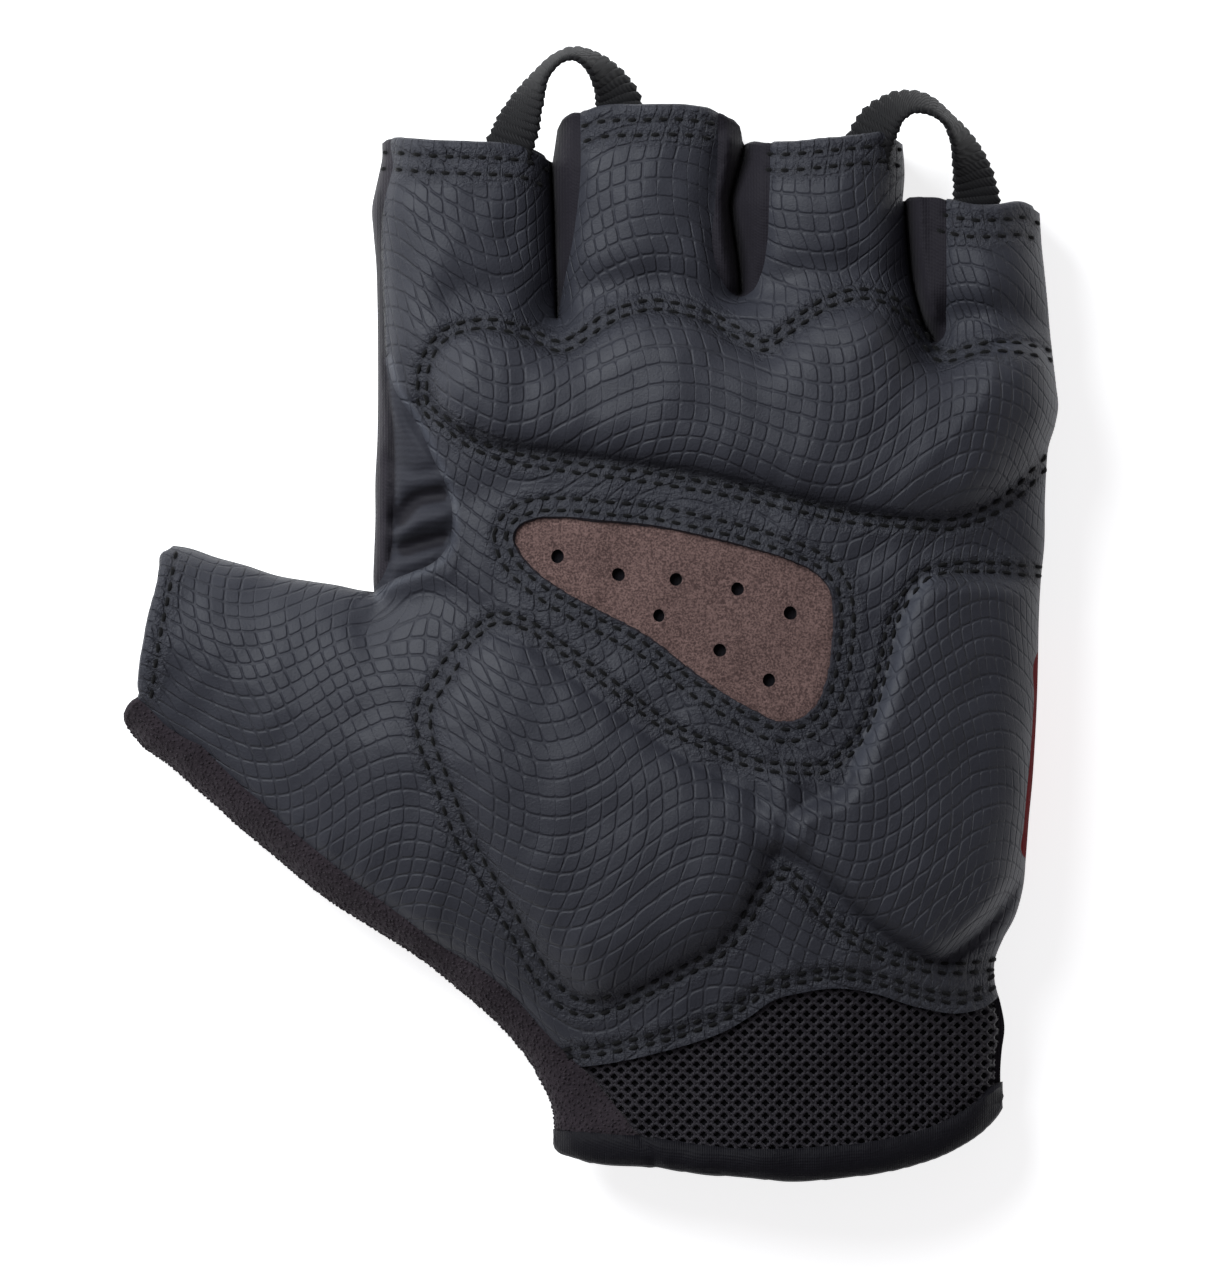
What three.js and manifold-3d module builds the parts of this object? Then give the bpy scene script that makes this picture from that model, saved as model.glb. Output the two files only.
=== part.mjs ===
// A fingerless cycling glove for the left hand, lying on its back with the palm up.
// Millimetres, +Z up. +Y points to the fingers, -X to the thumb. The origin is on
// the surface that the glove lies on, under the middle of the palm.
import * as THREE from "three";
import { mergeVertices } from "three/addons/utils/BufferGeometryUtils.js";
import Module from "manifold-3d";

const wasm = await Module();
wasm.setup();

// Driving dimensions.
const WALL = 1.4; // leather or cloth with its lining
const GAP = 0.3; // between neighbouring pieces
const SKY = 60; // any height above the glove
const SEAM_SHARE = 0.45; // height of the side seam as a share of the tube's height
const SEAM_HEIGHT = 10; // the palm side lies above it, the back of the hand below
const BACK_SEAM_HEIGHT = 3.6; // where the finger side walls meet the back
const FLAT = 1.4; // how much of the round underside is pressed flat where it rests
const ROUNDNESS = 2.5; // 2 gives an ellipse, more a squarer tube
const BINDING_PROUD = 0.7; // the edge binding stands out from the cuff by this
const BINDING_WIDTH = 4.2;
const PATCH_SINK = 0.4; // the suede lies this much lower than the leather round it
const PATCH_HOLE_RADIUS = 1.0;
const PAD_HEIGHT = 3.2;
const WEBBING = { width: 7.8, thickness: 1.1 };
const PALM_POINTS = 36; // round each section
const TUBE_POINTS = 20;
const RUN_OUT = 8; // tubes are made this much too long, and the hems cut them

// Columns: y of the section, its left and right edge, and the height of its top.
const PALM = [
  { y: -92, left: -6.5, right: 62.0, top: 20.5 },
  { y: -77, left: -5.5, right: 62.0, top: 21.0 },
  { y: -70.5, left: -7.5, right: 62.2, top: 21.4 },
  { y: -64.5, left: -11.5, right: 62.2, top: 22.0 },
  { y: -58.5, left: -17.5, right: 61.4, top: 22.6 },
  { y: -52.5, left: -25.0, right: 61.0, top: 23.4 },
  { y: -46.5, left: -34.0, right: 63.4, top: 24.2 },
  { y: -40.5, left: -42.5, right: 65.0, top: 24.8 },
  { y: -33, left: -44.0, right: 66.0, top: 25.0 },
  { y: -20, left: -38.0, right: 67.0, top: 25.0 },
  { y: -5, left: -33.0, right: 67.6, top: 25.0 },
  { y: 6, left: -32.6, right: 68.0, top: 25.0 },
  { y: 18, left: -32.4, right: 68.6, top: 24.8 },
  { y: 26, left: -32.2, right: 69.4, top: 24.6 },
  { y: 32, left: -32.0, right: 70.4, top: 24.4 },
  { y: 38, left: -32.0, right: 69.8, top: 23.8 },
  { y: 43, left: -31.8, right: 68.8, top: 21.0 },
];
const WEB = { y: 46.5, left: -30.5, right: 66.5, top: 17.0, bottom: 4.0 };

const FINGERS = {
  index: [
    { y: 28, left: -30.4, right: -6.4, top: 21.0 },
    { y: 37, left: -31.9, right: -5.4, top: 22.6 },
    { y: 46, left: -32.0, right: -5.6, top: 22.4 },
    { y: 58, left: -32.6, right: -5.8, top: 21.8 },
    { y: 69, left: -31.2, right: -6.4, top: 21.2 },
  ],
  middle: [
    { y: 34, left: -4.8, right: 22.6, top: 22.4 },
    { y: 46, left: -5.0, right: 22.8, top: 22.8 },
    { y: 60, left: -5.0, right: 23.0, top: 22.0 },
    { y: 75, left: -4.6, right: 22.4, top: 21.6 },
  ],
  ring: [
    { y: 34, left: 23.4, right: 50.2, top: 22.4 },
    { y: 46, left: 23.5, right: 48.6, top: 22.4 },
    { y: 58, left: 23.6, right: 47.2, top: 21.6 },
    { y: 70, left: 23.2, right: 46.4, top: 21.2 },
  ],
  little: [
    { y: 26, left: 52.4, right: 67.8, top: 19.4 },
    { y: 36, left: 50.8, right: 69.8, top: 21.2 },
    { y: 43, left: 49.4, right: 69.2, top: 20.6 },
    { y: 53, left: 47.9, right: 68.4, top: 20.0 },
    { y: 61.5, left: 47.2, right: 67.0, top: 19.4 },
  ],
};

// Columns: the end of the section on the finger side, on the wrist side, and its top.
const THUMB = [
  { near: [-63.8, 10.2], far: [-68.4, -14.4], top: 19.2 },
  { near: [-53.5, 7.8], far: [-60.0, -24.0], top: 20.2 },
  { near: [-43.5, 5.4], far: [-49.5, -35.0], top: 21.4 },
  { near: [-33.8, 2.2], far: [-36.8, -44.4], top: 22.6 },
  { near: [-21.0, -4.0], far: [-19.5, -50.0], top: 23.0 },
  { near: [-8.0, -12.0], far: [-5.0, -48.0], top: 21.0 },
];

// Hems in plan. Each runs from the thumb side to the little finger side.
const HEMS = {
  index: [[-36, 69.6], [-30, 70.2], [-21, 71.0], [-12, 70.0], [-5.5, 68.4]],
  middle: [[-5.5, 73.4], [-1, 75.3], [6, 76.3], [14, 76.3], [19, 75.4], [23.1, 74.0]],
  ring: [[23.1, 71.2], [31, 70.5], [39, 70.9], [47, 71.6]],
  little: [[47, 62.0], [54, 61.2], [61, 61.2], [72, 61.0]],
};
const THUMB_HEM = [[-62.6, 14.5], [-63.8, 10.2], [-68.4, -14.4], [-69.6, -19]];
const CUFF_HEM = [[-12, -76.4], [-4.5, -78.2], [3, -81.9], [15, -83.6], [30, -84.6],
  [43, -83.0], [53, -78.8], [60, -72.6], [68, -64]];

// Seams in plan, on the palm side.
const INDEX_SEAM_X = -30.0; // left of it the back of the hand wraps round
const FOURCHETTES = {
  index_middle: [[-8.4, 82], [-8.4, 62], [-8.2, 49], [-7.4, 44.8], [-5.2, 42.8], [-3.4, 44.8],
    [-2.2, 50], [-1.8, 62], [-1.4, 82]],
  middle_ring: [[19.2, 82], [19.4, 62], [19.6, 50], [20.6, 46.0], [23.0, 44.0], [25.4, 46.0],
    [26.6, 51], [27.2, 62], [27.2, 82]],
  ring_little: [[44.8, 82], [45.2, 62], [46.0, 50], [47.6, 44.2], [50.4, 41.2], [52.6, 43.2],
    [53.4, 50], [53.4, 82]],
};
const THUMB_GUSSET = [[-31.6, 26], [-28, 28.4], [-25.6, 27.4], [-22.6, 21.6], [-21.2, 16],
  [-21.0, 10.6], [-23.4, 6.8], [-27.4, 6.4], [-31.4, 3.6], [-40, 3]];
const PATCH = [[-11.2, 10.4], [-9.4, 13.6], [-4.5, 14.4], [6, 13.4], [17, 11.6], [28, 8.4],
  [34.4, 5.6], [36.8, 1.6], [36.4, -6], [34.6, -13], [31, -16.2], [26.4, -15.6],
  [17, -9.8], [5, -1.4], [-5, 3.6], [-9.8, 7.4]];
const PATCH_HOLES = [[-5.0, 8.6], [4.2, 5.8], [12.9, 5.2], [22.1, 3.8], [30.0, 0.2],
  [10.4, -0.4], [19.4, -5.4], [26.7, -9.8]];
const MESH_TOP = [[-3, -69.4], [1.2, -67.9], [8, -65.3], [15, -62.3], [22.5, -58.4],
  [30, -56.2], [38, -55.6], [46, -57.6], [53, -58.6], [58, -57.4], [68, -53]];
const TERRY_SEAM = [[-72, -10.4], [-66.6, -14.8], [-58.5, -22.0], [-43.5, -34.2],
  [-28.5, -45.2], [-16.5, -55.6], [-9, -63.2], [1.2, -72.8], [8, -84]];
const TERRY_BACK_SEAM = [[-33.5, 9], [-33.5, 0], [-26, -26], [-6, -60], [12, -92]];
const SIDE_TRIM = [[60, 3], [74, 3], [74, -41], [60, -41]];

// Pads: the outline in plan, and a spine that the crown rises to.
const PADS = {
  knuckle_pad: {
    outline: [[-24.0, 35], [-22.0, 40.0], [-17.6, 43.0], [-11.4, 42.6], [-4.4, 39.8],
      [2.4, 42.4], [9.2, 45.2], [15.4, 44.6], [21.2, 40.8], [26.6, 37.8], [33, 41.8],
      [40.6, 45.2], [47.2, 43.6], [53, 38.8], [59, 40.2], [65, 40.0], [68.2, 36],
      [68.8, 30], [67.0, 23], [61.6, 17], [54, 13.6], [45, 14.0], [34.6, 15.8],
      [22, 19.0], [9, 20.8], [-4, 22.0], [-15, 24.0], [-21.6, 27.8]],
    spine: [[-14, 34], [8, 32], [30, 30], [50, 28], [58, 30]],
  },
  thenar_pad: {
    outline: [[-23.6, -15.6], [-20.0, -9.0], [-14.4, -2.8], [-9.4, -4.4], [0, -10.4],
      [9, -16.6], [17, -22.4], [25, -25.4], [28.2, -31], [26.6, -38.4], [21, -46.4],
      [13.6, -52.6], [4.6, -56.8], [-1.8, -57.4], [-8, -51.6], [-14, -42.4], [-20, -31]],
    spine: [[-11, -14], [-5, -26], [4, -38], [7, -42]],
  },
  hypothenar_pad: {
    outline: [[47.2, 3.4], [54, 5.2], [61.2, 4.8], [65.2, 2.4], [65.8, -8], [65.2, -20],
      [64, -32], [61.6, -42], [57.6, -48.6], [52.6, -51.4], [45, -48.8], [38, -43.6],
      [32.2, -37.2], [31.4, -31], [38.4, -24.6], [42.4, -12]],
    spine: [[55, -6], [52, -22], [50, -36]],
  },
};

// Columns: the middle of the webbing, and the tilt of its flat side in degrees,
// from 0, lying flat, to 90, on edge.
const PULL_LOOPS = {
  index_middle: [
    { at: [-12.4, 64.0, 17.0], tilt: 24 },
    { at: [-12.0, 69.6, 16.8], tilt: 22 },
    { at: [-11.2, 74.0, 16.8], tilt: 30 },
    { at: [-10.0, 77.8, 16.8], tilt: 48 },
    { at: [-8.0, 81.2, 17.0], tilt: 66 },
    { at: [-5.2, 83.4, 17.2], tilt: 80 },
    { at: [-2.2, 84.1, 17.4], tilt: 84 },
    { at: [0.6, 83.2, 17.6], tilt: 76 },
    { at: [2.8, 81.0, 17.8], tilt: 60 },
    { at: [4.3, 78.4, 18.0], tilt: 38 },
    { at: [4.8, 75.6, 18.2], tilt: 14 },
    { at: [4.8, 69.6, 18.2], tilt: 10 },
  ],
  ring_little: [
    { at: [41.4, 65.4, 17.0], tilt: 24 },
    { at: [41.8, 71.0, 17.0], tilt: 24 },
    { at: [43.6, 74.2, 17.0], tilt: 34 },
    { at: [46.2, 76.4, 17.0], tilt: 58 },
    { at: [49.6, 77.2, 17.0], tilt: 74 },
    { at: [53.0, 75.9, 16.8], tilt: 74 },
    { at: [55.7, 73.2, 16.6], tilt: 66 },
    { at: [57.2, 69.6, 16.2], tilt: 54 },
    { at: [57.9, 65.6, 16.0], tilt: 34 },
    { at: [58.2, 61.6, 16.0], tilt: 16 },
    { at: [58.2, 55.6, 16.2], tilt: 10 },
  ],
};

const FINISH = {
  leather: { color: 0x2a2d33, roughness: 0.55 },
  suede: { color: 0x6e574e, roughness: 0.95 },
  stretch: { color: 0x17171c, roughness: 0.85 },
  terry: { color: 0x2b2527, roughness: 1.0 },
  mesh: { color: 0x1c1b1f, roughness: 0.9 },
  binding: { color: 0x14141a, roughness: 0.8 },
  webbing: { color: 0x19181c, roughness: 0.9 },
  trim: { color: 0x5a0d12, roughness: 0.8 },
};

// A closed three.js geometry as a solid, whichever way its faces were wound.
function solidOf(geometry) {
  const bare = geometry.index ? geometry.toNonIndexed() : geometry.clone();
  bare.deleteAttribute("normal");
  bare.deleteAttribute("uv");
  const merged = mergeVertices(bare, 1e-4);
  const corners = [];
  const index = merged.index.array;
  for (let i = 0; i < index.length; i += 3) {
    const [a, b, c] = index.slice(i, i + 3);
    if (a !== b && b !== c && c !== a) corners.push(a, b, c);
  }
  const build = (triangles) =>
    new wasm.Manifold(
      new wasm.Mesh({
        numProp: 3,
        vertProperties: merged.attributes.position.array,
        triVerts: new Uint32Array(triangles),
      }),
    );
  const made = build(corners);
  return made.volume() > 0 ? made : build(corners.reverse());
}

const unite = (solids) => solids.reduce((all, one) => all.add(one));

// Lids for a ring of points: from its middle, or in plan for a ring of any outline.
function fanLid(ring) {
  const middle = ring.reduce((sum, p) => sum.clone().add(p), new THREE.Vector3());
  middle.divideScalar(ring.length);
  return ring.map((point, i) => [middle, point, ring[(i + 1) % ring.length]]);
}

function planLid(ring) {
  const plan = ring.map(({ x, y }) => new THREE.Vector2(x, y));
  const lid = THREE.ShapeUtils.triangulateShape(plan, []);
  const turned = THREE.ShapeUtils.area(plan) < 0;
  return lid.map((corners) => (turned ? corners.reverse() : corners).map((i) => ring[i]));
}

// Skin through rings of equal length, closed at both ends.
function skin(rings, lid = fanLid) {
  const points = [];
  const count = rings[0].length;
  const facet = (...corners) => corners.forEach((p) => points.push(p.x, p.y, p.z));
  for (let r = 0; r + 1 < rings.length; r++) {
    for (let i = 0; i < count; i++) {
      const j = (i + 1) % count;
      facet(rings[r][i], rings[r][j], rings[r + 1][j]);
      facet(rings[r][i], rings[r + 1][j], rings[r + 1][i]);
    }
  }
  lid(rings[0]).forEach(([a, b, c]) => facet(a, c, b));
  lid(rings[rings.length - 1]).forEach((corners) => facet(...corners));
  const geometry = new THREE.BufferGeometry();
  geometry.setAttribute("position", new THREE.Float32BufferAttribute(points, 3));
  return solidOf(geometry);
}

// A rounded section between two points in plan, pressed flat underneath.
function section({ near, far, top, bottom = 0 }, inset, count) {
  const middle = [(near[0] + far[0]) / 2, (near[1] + far[1]) / 2];
  const span = Math.hypot(far[0] - near[0], far[1] - near[1]);
  const along = [(far[0] - near[0]) / span, (far[1] - near[1]) / span];
  const half = span / 2 - inset;
  const seam = bottom + SEAM_SHARE * (top - bottom);
  const rise = top - seam - inset;
  const drop = seam - bottom + FLAT - inset;
  const power = (v) => Math.sign(v) * Math.abs(v) ** (2 / ROUNDNESS);
  return Array.from({ length: count }, (_, i) => {
    const turn = (2 * Math.PI * (i + 0.5)) / count;
    const out = half * power(Math.cos(turn));
    const up = power(Math.sin(turn));
    const height = seam + up * (up > 0 ? rise : drop);
    return new THREE.Vector3(
      middle[0] + along[0] * out,
      middle[1] + along[1] * out,
      Math.max(height, bottom + inset),
    );
  });
}

const crossways = ({ y, left, right, ...rest }) => ({ near: [left, y], far: [right, y], ...rest });

// A finger's tube, made too long at its hem.
function fingerRings(rows, inset) {
  const tip = rows[rows.length - 1];
  const longer = [...rows, { ...tip, y: tip.y + RUN_OUT }];
  return longer.map((row) => section(crossways(row), inset, TUBE_POINTS));
}

// The thumb's tube, made too long at its hem by carrying on its first two sections.
function thumbRings(inset) {
  const [first, second] = THUMB;
  const beyond = (a, b) => a.map((v, i) => v + (v - b[i]) * 0.7);
  const start = {
    near: beyond(first.near, second.near),
    far: beyond(first.far, second.far),
    top: first.top,
  };
  return [start, ...THUMB].map((row) => section(row, inset, TUBE_POINTS));
}

// The whole hollow form as a solid, taken in by inset all round.
function form(inset) {
  const web = { ...WEB, y: WEB.y - inset };
  const palm = [...PALM, web].map((row) => section(crossways(row), inset, PALM_POINTS));
  const fingers = Object.values(FINGERS).map((rows) => skin(fingerRings(rows, inset)));
  return unite([skin(palm), skin(thumbRings(inset)), ...fingers]);
}

// A plan outline moved out by a distance, with mitred corners.
function grown(outline, distance) {
  const area = THREE.ShapeUtils.area(outline.map(([x, y]) => new THREE.Vector2(x, y)));
  const side = Math.sign(area) * distance;
  const count = outline.length;
  return outline.map(([x, y], i) => {
    const before = outline[(i + count - 1) % count];
    const after = outline[(i + 1) % count];
    const [ax, ay] = unit(x - before[0], y - before[1]);
    const [bx, by] = unit(after[0] - x, after[1] - y);
    const reach = side / Math.max(1 + ax * bx + ay * by, 0.4);
    return [x + (ay + by) * reach, y - (ax + bx) * reach];
  });
}

function unit(x, y) {
  const length = Math.hypot(x, y) || 1;
  return [x / length, y / length];
}

// An upright block over a plan outline.
function prism(outline, low, high) {
  const shape = new THREE.Shape(outline.map(([x, y]) => new THREE.Vector2(x, y)));
  const block = new THREE.ExtrudeGeometry(shape, { depth: high - low, bevelEnabled: false });
  return solidOf(block.translate(0, 0, low));
}

// The same block twice: as it is, and grown by the gap to its neighbours.
const zone = (outline, low, high) => ({
  inside: prism(outline, low, high),
  cleared: prism(grown(outline, GAP), low - GAP, high + GAP),
});
const joined = (a, b) => ({ inside: a.inside.add(b.inside), cleared: a.cleared.add(b.cleared) });

// Everything within the hems. Beside them the outline runs well clear of the glove.
const WITHIN_HEMS = [
  ...HEMS.index, ...HEMS.middle, ...HEMS.ring, ...HEMS.little,
  [80, 60], [80, -60], ...CUFF_HEM.slice().reverse(), [-40, -76], [-74, -40],
  ...THUMB_HEM.slice().reverse(), [-50, 40], [-36, 60],
];

// The main body of a cut solid, without crumbs.
function mainBody(solid) {
  return solid.decompose().reduce((a, b) => (a.volume() > b.volume() ? a : b));
}

const outside = form(0);
const inside = form(WALL);
const withinHems = prism(WITHIN_HEMS, -5, SKY);
let shell = outside.subtract(inside).intersect(withinHems);

// Cuts a piece from what is left of the shell, and clears the gap round it.
function take(area, from = shell) {
  const piece = from.intersect(area.inside);
  shell = shell.subtract(area.cleared);
  return mainBody(piece);
}

const group = new THREE.Group();

function add(name, solid, finish) {
  const { vertProperties, triVerts } = solid.getMesh();
  const geometry = new THREE.BufferGeometry();
  geometry.setAttribute("position", new THREE.Float32BufferAttribute(vertProperties, 3));
  geometry.setIndex([...triVerts]);
  const faceted = geometry.toNonIndexed();
  faceted.computeVertexNormals();
  const mesh = new THREE.Mesh(
    faceted,
    new THREE.MeshStandardMaterial({ ...FINISH[finish], metalness: 0 }),
  );
  mesh.name = name;
  group.add(mesh);
}

function addFourchettes() {
  for (const [name, outline] of Object.entries(FOURCHETTES)) {
    add(`fourchette_${name}`, take(zone(outline, BACK_SEAM_HEIGHT, SKY)), "stretch");
  }
}

function addSuedePatch() {
  const sunk = form(PATCH_SINK).subtract(inside);
  const punches = PATCH_HOLES.map(([x, y]) => {
    const punch = new THREE.CylinderGeometry(PATCH_HOLE_RADIUS, PATCH_HOLE_RADIUS, SKY, 10);
    return solidOf(punch.rotateX(Math.PI / 2).translate(x, y, SKY / 2));
  });
  const patch = take(zone(PATCH, SEAM_HEIGHT, SKY), sunk);
  add("suede_patch", patch.subtract(unite(punches)), "suede");
}

// A tape folded over the cuff's edge, all the way round.
function addCuffBinding() {
  const band = [
    ...CUFF_HEM,
    ...CUFF_HEM.slice().reverse().map(([x, y]) => [x - 0.3, y + BINDING_WIDTH]),
  ];
  const tape = form(-BINDING_PROUD).subtract(inside);
  add("cuff_binding", take(zone(band, -5, SKY), tape), "binding");
}

function addMeshCuff() {
  const area = [...MESH_TOP, [72, -95], [6, -95], ...TERRY_SEAM.slice(-2).reverse()];
  add("mesh_cuff", take(zone(area, SEAM_HEIGHT, SKY)), "mesh");
}

function addThumbBack() {
  const strip = [...TERRY_SEAM, [8, -95], [-80, -95], [-80, -10.4]];
  const back = [...TERRY_BACK_SEAM, [-80, -92], [-80, 20], [-33.5, 20]];
  const areas = joined(zone(strip, -5, SKY), zone(back, -5, SEAM_HEIGHT - GAP));
  add("thumb_back", take(areas), "terry");
}

function addPalmPanel() {
  const area = [[INDEX_SEAM_X, 90], [80, 90], [80, -95], [-80, -95], [-80, 20], [INDEX_SEAM_X, 3]];
  add("palm_panel", take(zone(area, SEAM_HEIGHT, SKY)), "leather");
}

// Height of the palm's outer skin at a point in plan.
function palmHeight(x, y) {
  const next = Math.max(PALM.findIndex((row) => row.y > y), 1);
  const [a, b] = [PALM[next - 1], PALM[next]];
  const share = THREE.MathUtils.clamp((y - a.y) / (b.y - a.y), 0, 1);
  const mix = (column) => THREE.MathUtils.lerp(a[column], b[column], share);
  const [left, right, top] = ["left", "right", "top"].map(mix);
  const out = Math.min(Math.abs((2 * x - left - right) / (right - left)), 1);
  return top * (SEAM_SHARE + (1 - SEAM_SHARE) * (1 - out ** ROUNDNESS) ** (1 / ROUNDNESS));
}

function nearestOn(path, [x, y]) {
  let best = { distance: Infinity };
  for (let i = 0; i + 1 < path.length; i++) {
    const [[ax, ay], [bx, by]] = [path[i], path[i + 1]];
    const [dx, dy] = [bx - ax, by - ay];
    const share = THREE.MathUtils.clamp(((x - ax) * dx + (y - ay) * dy) / (dx * dx + dy * dy), 0, 1);
    const point = [ax + dx * share, ay + dy * share];
    const distance = Math.hypot(point[0] - x, point[1] - y);
    if (distance < best.distance) best = { distance, point };
  }
  return best.point;
}

// A crowned cushion on the palm's skin. Its sides rise steeply, then its top levels off.
function pad({ outline, spine }) {
  const curve = new THREE.CatmullRomCurve3(
    outline.map(([x, y]) => new THREE.Vector3(x, y, 0)), true, "centripetal");
  const edge = curve.getPoints(outline.length * 2).slice(0, -1).map((p) => [p.x, p.y]);
  const steps = [
    { inward: 0, rise: -4 },
    { inward: 0, rise: 0.9 },
    { inward: 0.12, rise: 2.2 },
    { inward: 0.32, rise: 3.0 },
    { inward: 0.7, rise: PAD_HEIGHT },
  ];
  const rings = steps.map(({ inward, rise }) =>
    edge.map((point) => {
      const target = nearestOn(spine, point);
      const [x, y] = point.map((v, i) => THREE.MathUtils.lerp(v, target[i], inward));
      return new THREE.Vector3(x, y, palmHeight(x, y) + rise);
    }),
  );
  return skin(rings, planLid);
}

function addPads() {
  const carrier = form(-GAP);
  for (const [name, shape] of Object.entries(PADS)) {
    add(name, mainBody(pad(shape).subtract(carrier)), "leather");
  }
}

// Flat webbing along a path, turned on edge at the top of the loop.
function webbing(rows) {
  const points = rows.map(({ at }) => new THREE.Vector3(...at));
  const rings = rows.map(({ tilt }, i) => {
    const ahead = points[Math.min(i + 1, points.length - 1)].clone();
    const run = ahead.sub(points[Math.max(i - 1, 0)]).setZ(0).normalize();
    const side = new THREE.Vector3(run.y, -run.x, 0);
    const lean = THREE.MathUtils.degToRad(tilt);
    const across = side.clone().multiplyScalar(Math.cos(lean)).setZ(-Math.sin(lean));
    const face = new THREE.Vector3().crossVectors(across, run).normalize();
    const corner = (u, v) =>
      points[i].clone()
        .addScaledVector(across, u * WEBBING.width / 2)
        .addScaledVector(face, v * WEBBING.thickness / 2);
    return [corner(-1, -1), corner(1, -1), corner(1, 1), corner(-1, 1)];
  });
  return skin(rings);
}

function addPullLoops() {
  const cleared = prism(grown(WITHIN_HEMS, GAP), -5, SKY);
  const walls = form(-GAP).subtract(form(WALL + GAP)).intersect(cleared);
  for (const [name, rows] of Object.entries(PULL_LOOPS)) {
    add(`pull_loop_${name}`, mainBody(webbing(rows).subtract(walls)), "webbing");
  }
}

addFourchettes();
addSuedePatch();
add("thumb_gusset", take(zone(THUMB_GUSSET, SEAM_HEIGHT, SKY)), "stretch");
addCuffBinding();
addMeshCuff();
addThumbBack();
add("side_trim", take(zone(SIDE_TRIM, BACK_SEAM_HEIGHT, SEAM_HEIGHT - GAP)), "trim");
addPalmPanel();
add("back_panel", mainBody(shell), "stretch");
addPads();
addPullLoops();

export default group;
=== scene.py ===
import math

import bpy
import numpy as np
from bpy.props import FloatProperty, FloatVectorProperty, IntProperty, PointerProperty
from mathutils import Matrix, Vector
from mathutils.geometry import delaunay_2d_cdt
from mathutils.kdtree import KDTree


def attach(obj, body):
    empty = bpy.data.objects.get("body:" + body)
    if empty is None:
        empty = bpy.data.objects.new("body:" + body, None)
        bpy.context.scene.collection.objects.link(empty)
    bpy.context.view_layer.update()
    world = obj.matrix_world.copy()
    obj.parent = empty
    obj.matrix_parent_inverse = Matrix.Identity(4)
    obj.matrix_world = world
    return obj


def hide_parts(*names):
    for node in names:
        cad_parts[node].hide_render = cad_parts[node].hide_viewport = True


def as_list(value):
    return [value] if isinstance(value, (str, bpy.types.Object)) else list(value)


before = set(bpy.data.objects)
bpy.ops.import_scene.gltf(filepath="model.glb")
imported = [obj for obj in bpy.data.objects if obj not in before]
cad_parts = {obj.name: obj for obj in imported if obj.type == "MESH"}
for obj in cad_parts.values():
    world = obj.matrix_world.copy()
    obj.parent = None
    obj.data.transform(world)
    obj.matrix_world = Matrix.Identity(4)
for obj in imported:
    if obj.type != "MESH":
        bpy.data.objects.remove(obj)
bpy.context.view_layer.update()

bl_info = {
    "name": "Fingerless cycling glove",
    "version": (1, 0, 0),
    "blender": (4, 5, 0),
    "location": "View3D > Sidebar > Glove",
    "description": "Dresses a left-hand cycling glove that lies with its palm up",
    "category": "Add Mesh",
}

MM = 0.001
FLAT_SCALE = 0.01        # of the panels' flat coordinates, which are in millimetres
ROW_STEP = 0.866         # height of a grid's triangles, as a share of their sides
ON_EDGE = 2e-3           # mesh points nearer than this lie on the silhouette or a hem
SAME_POINT = 5e-3        # points of the palm and the back nearer than this are one
FAR = 1e6
BACK_GRID = 1.7          # the back's mesh grid, against the palm's
SIDE_SPREAD = 0.85       # how far the sides spread when laid flat, against how far they fall
HEM_WIDTH = 4.6          # how far the turned hems reach in
# The section of the glove: how round its sides are, how high the seam along the silhouette
# lies, as a share of the height there, and how far the back would hang below the table.
ROUNDNESS, SEAM_SHARE, PRESSED_FLAT = 2.5, 0.45, 1.4
# Sewn lines draw the leather in: the line itself, a wider hollow, and the reach of both.
THREAD_WIDTH, HOLLOW_WIDTH, SEWN_REACH = 0.5, 1.5, 4
# Runs of stitches: points to one stitch, and the fewest points that make a run.
STITCH_PARTS, SHORTEST_RUN = 6, 14
# How far the thread lies above the leather, how far the suede reaches behind the leather round
# its opening, and the radius of the suede's holes.
THREAD_LIFT, SUEDE_MARGIN, HOLE_RADIUS = 0.22, 2.2, 0.98
# In metres: the floor, just below the pile, the level that the camera is measured from, and
# the height of what it sees there. The lens and the sensor are in millimetres.
FLOOR, PALM_TOP, VIEW_HEIGHT = -0.0005, 0.018, 0.192
LENS, SENSOR = 300, 36
# Rows of mesh points along the sides, by their distance from the silhouette.
RING_DEPTHS = (0.05, 0.16, 0.36, 0.7, 1.2, 1.9)

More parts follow.
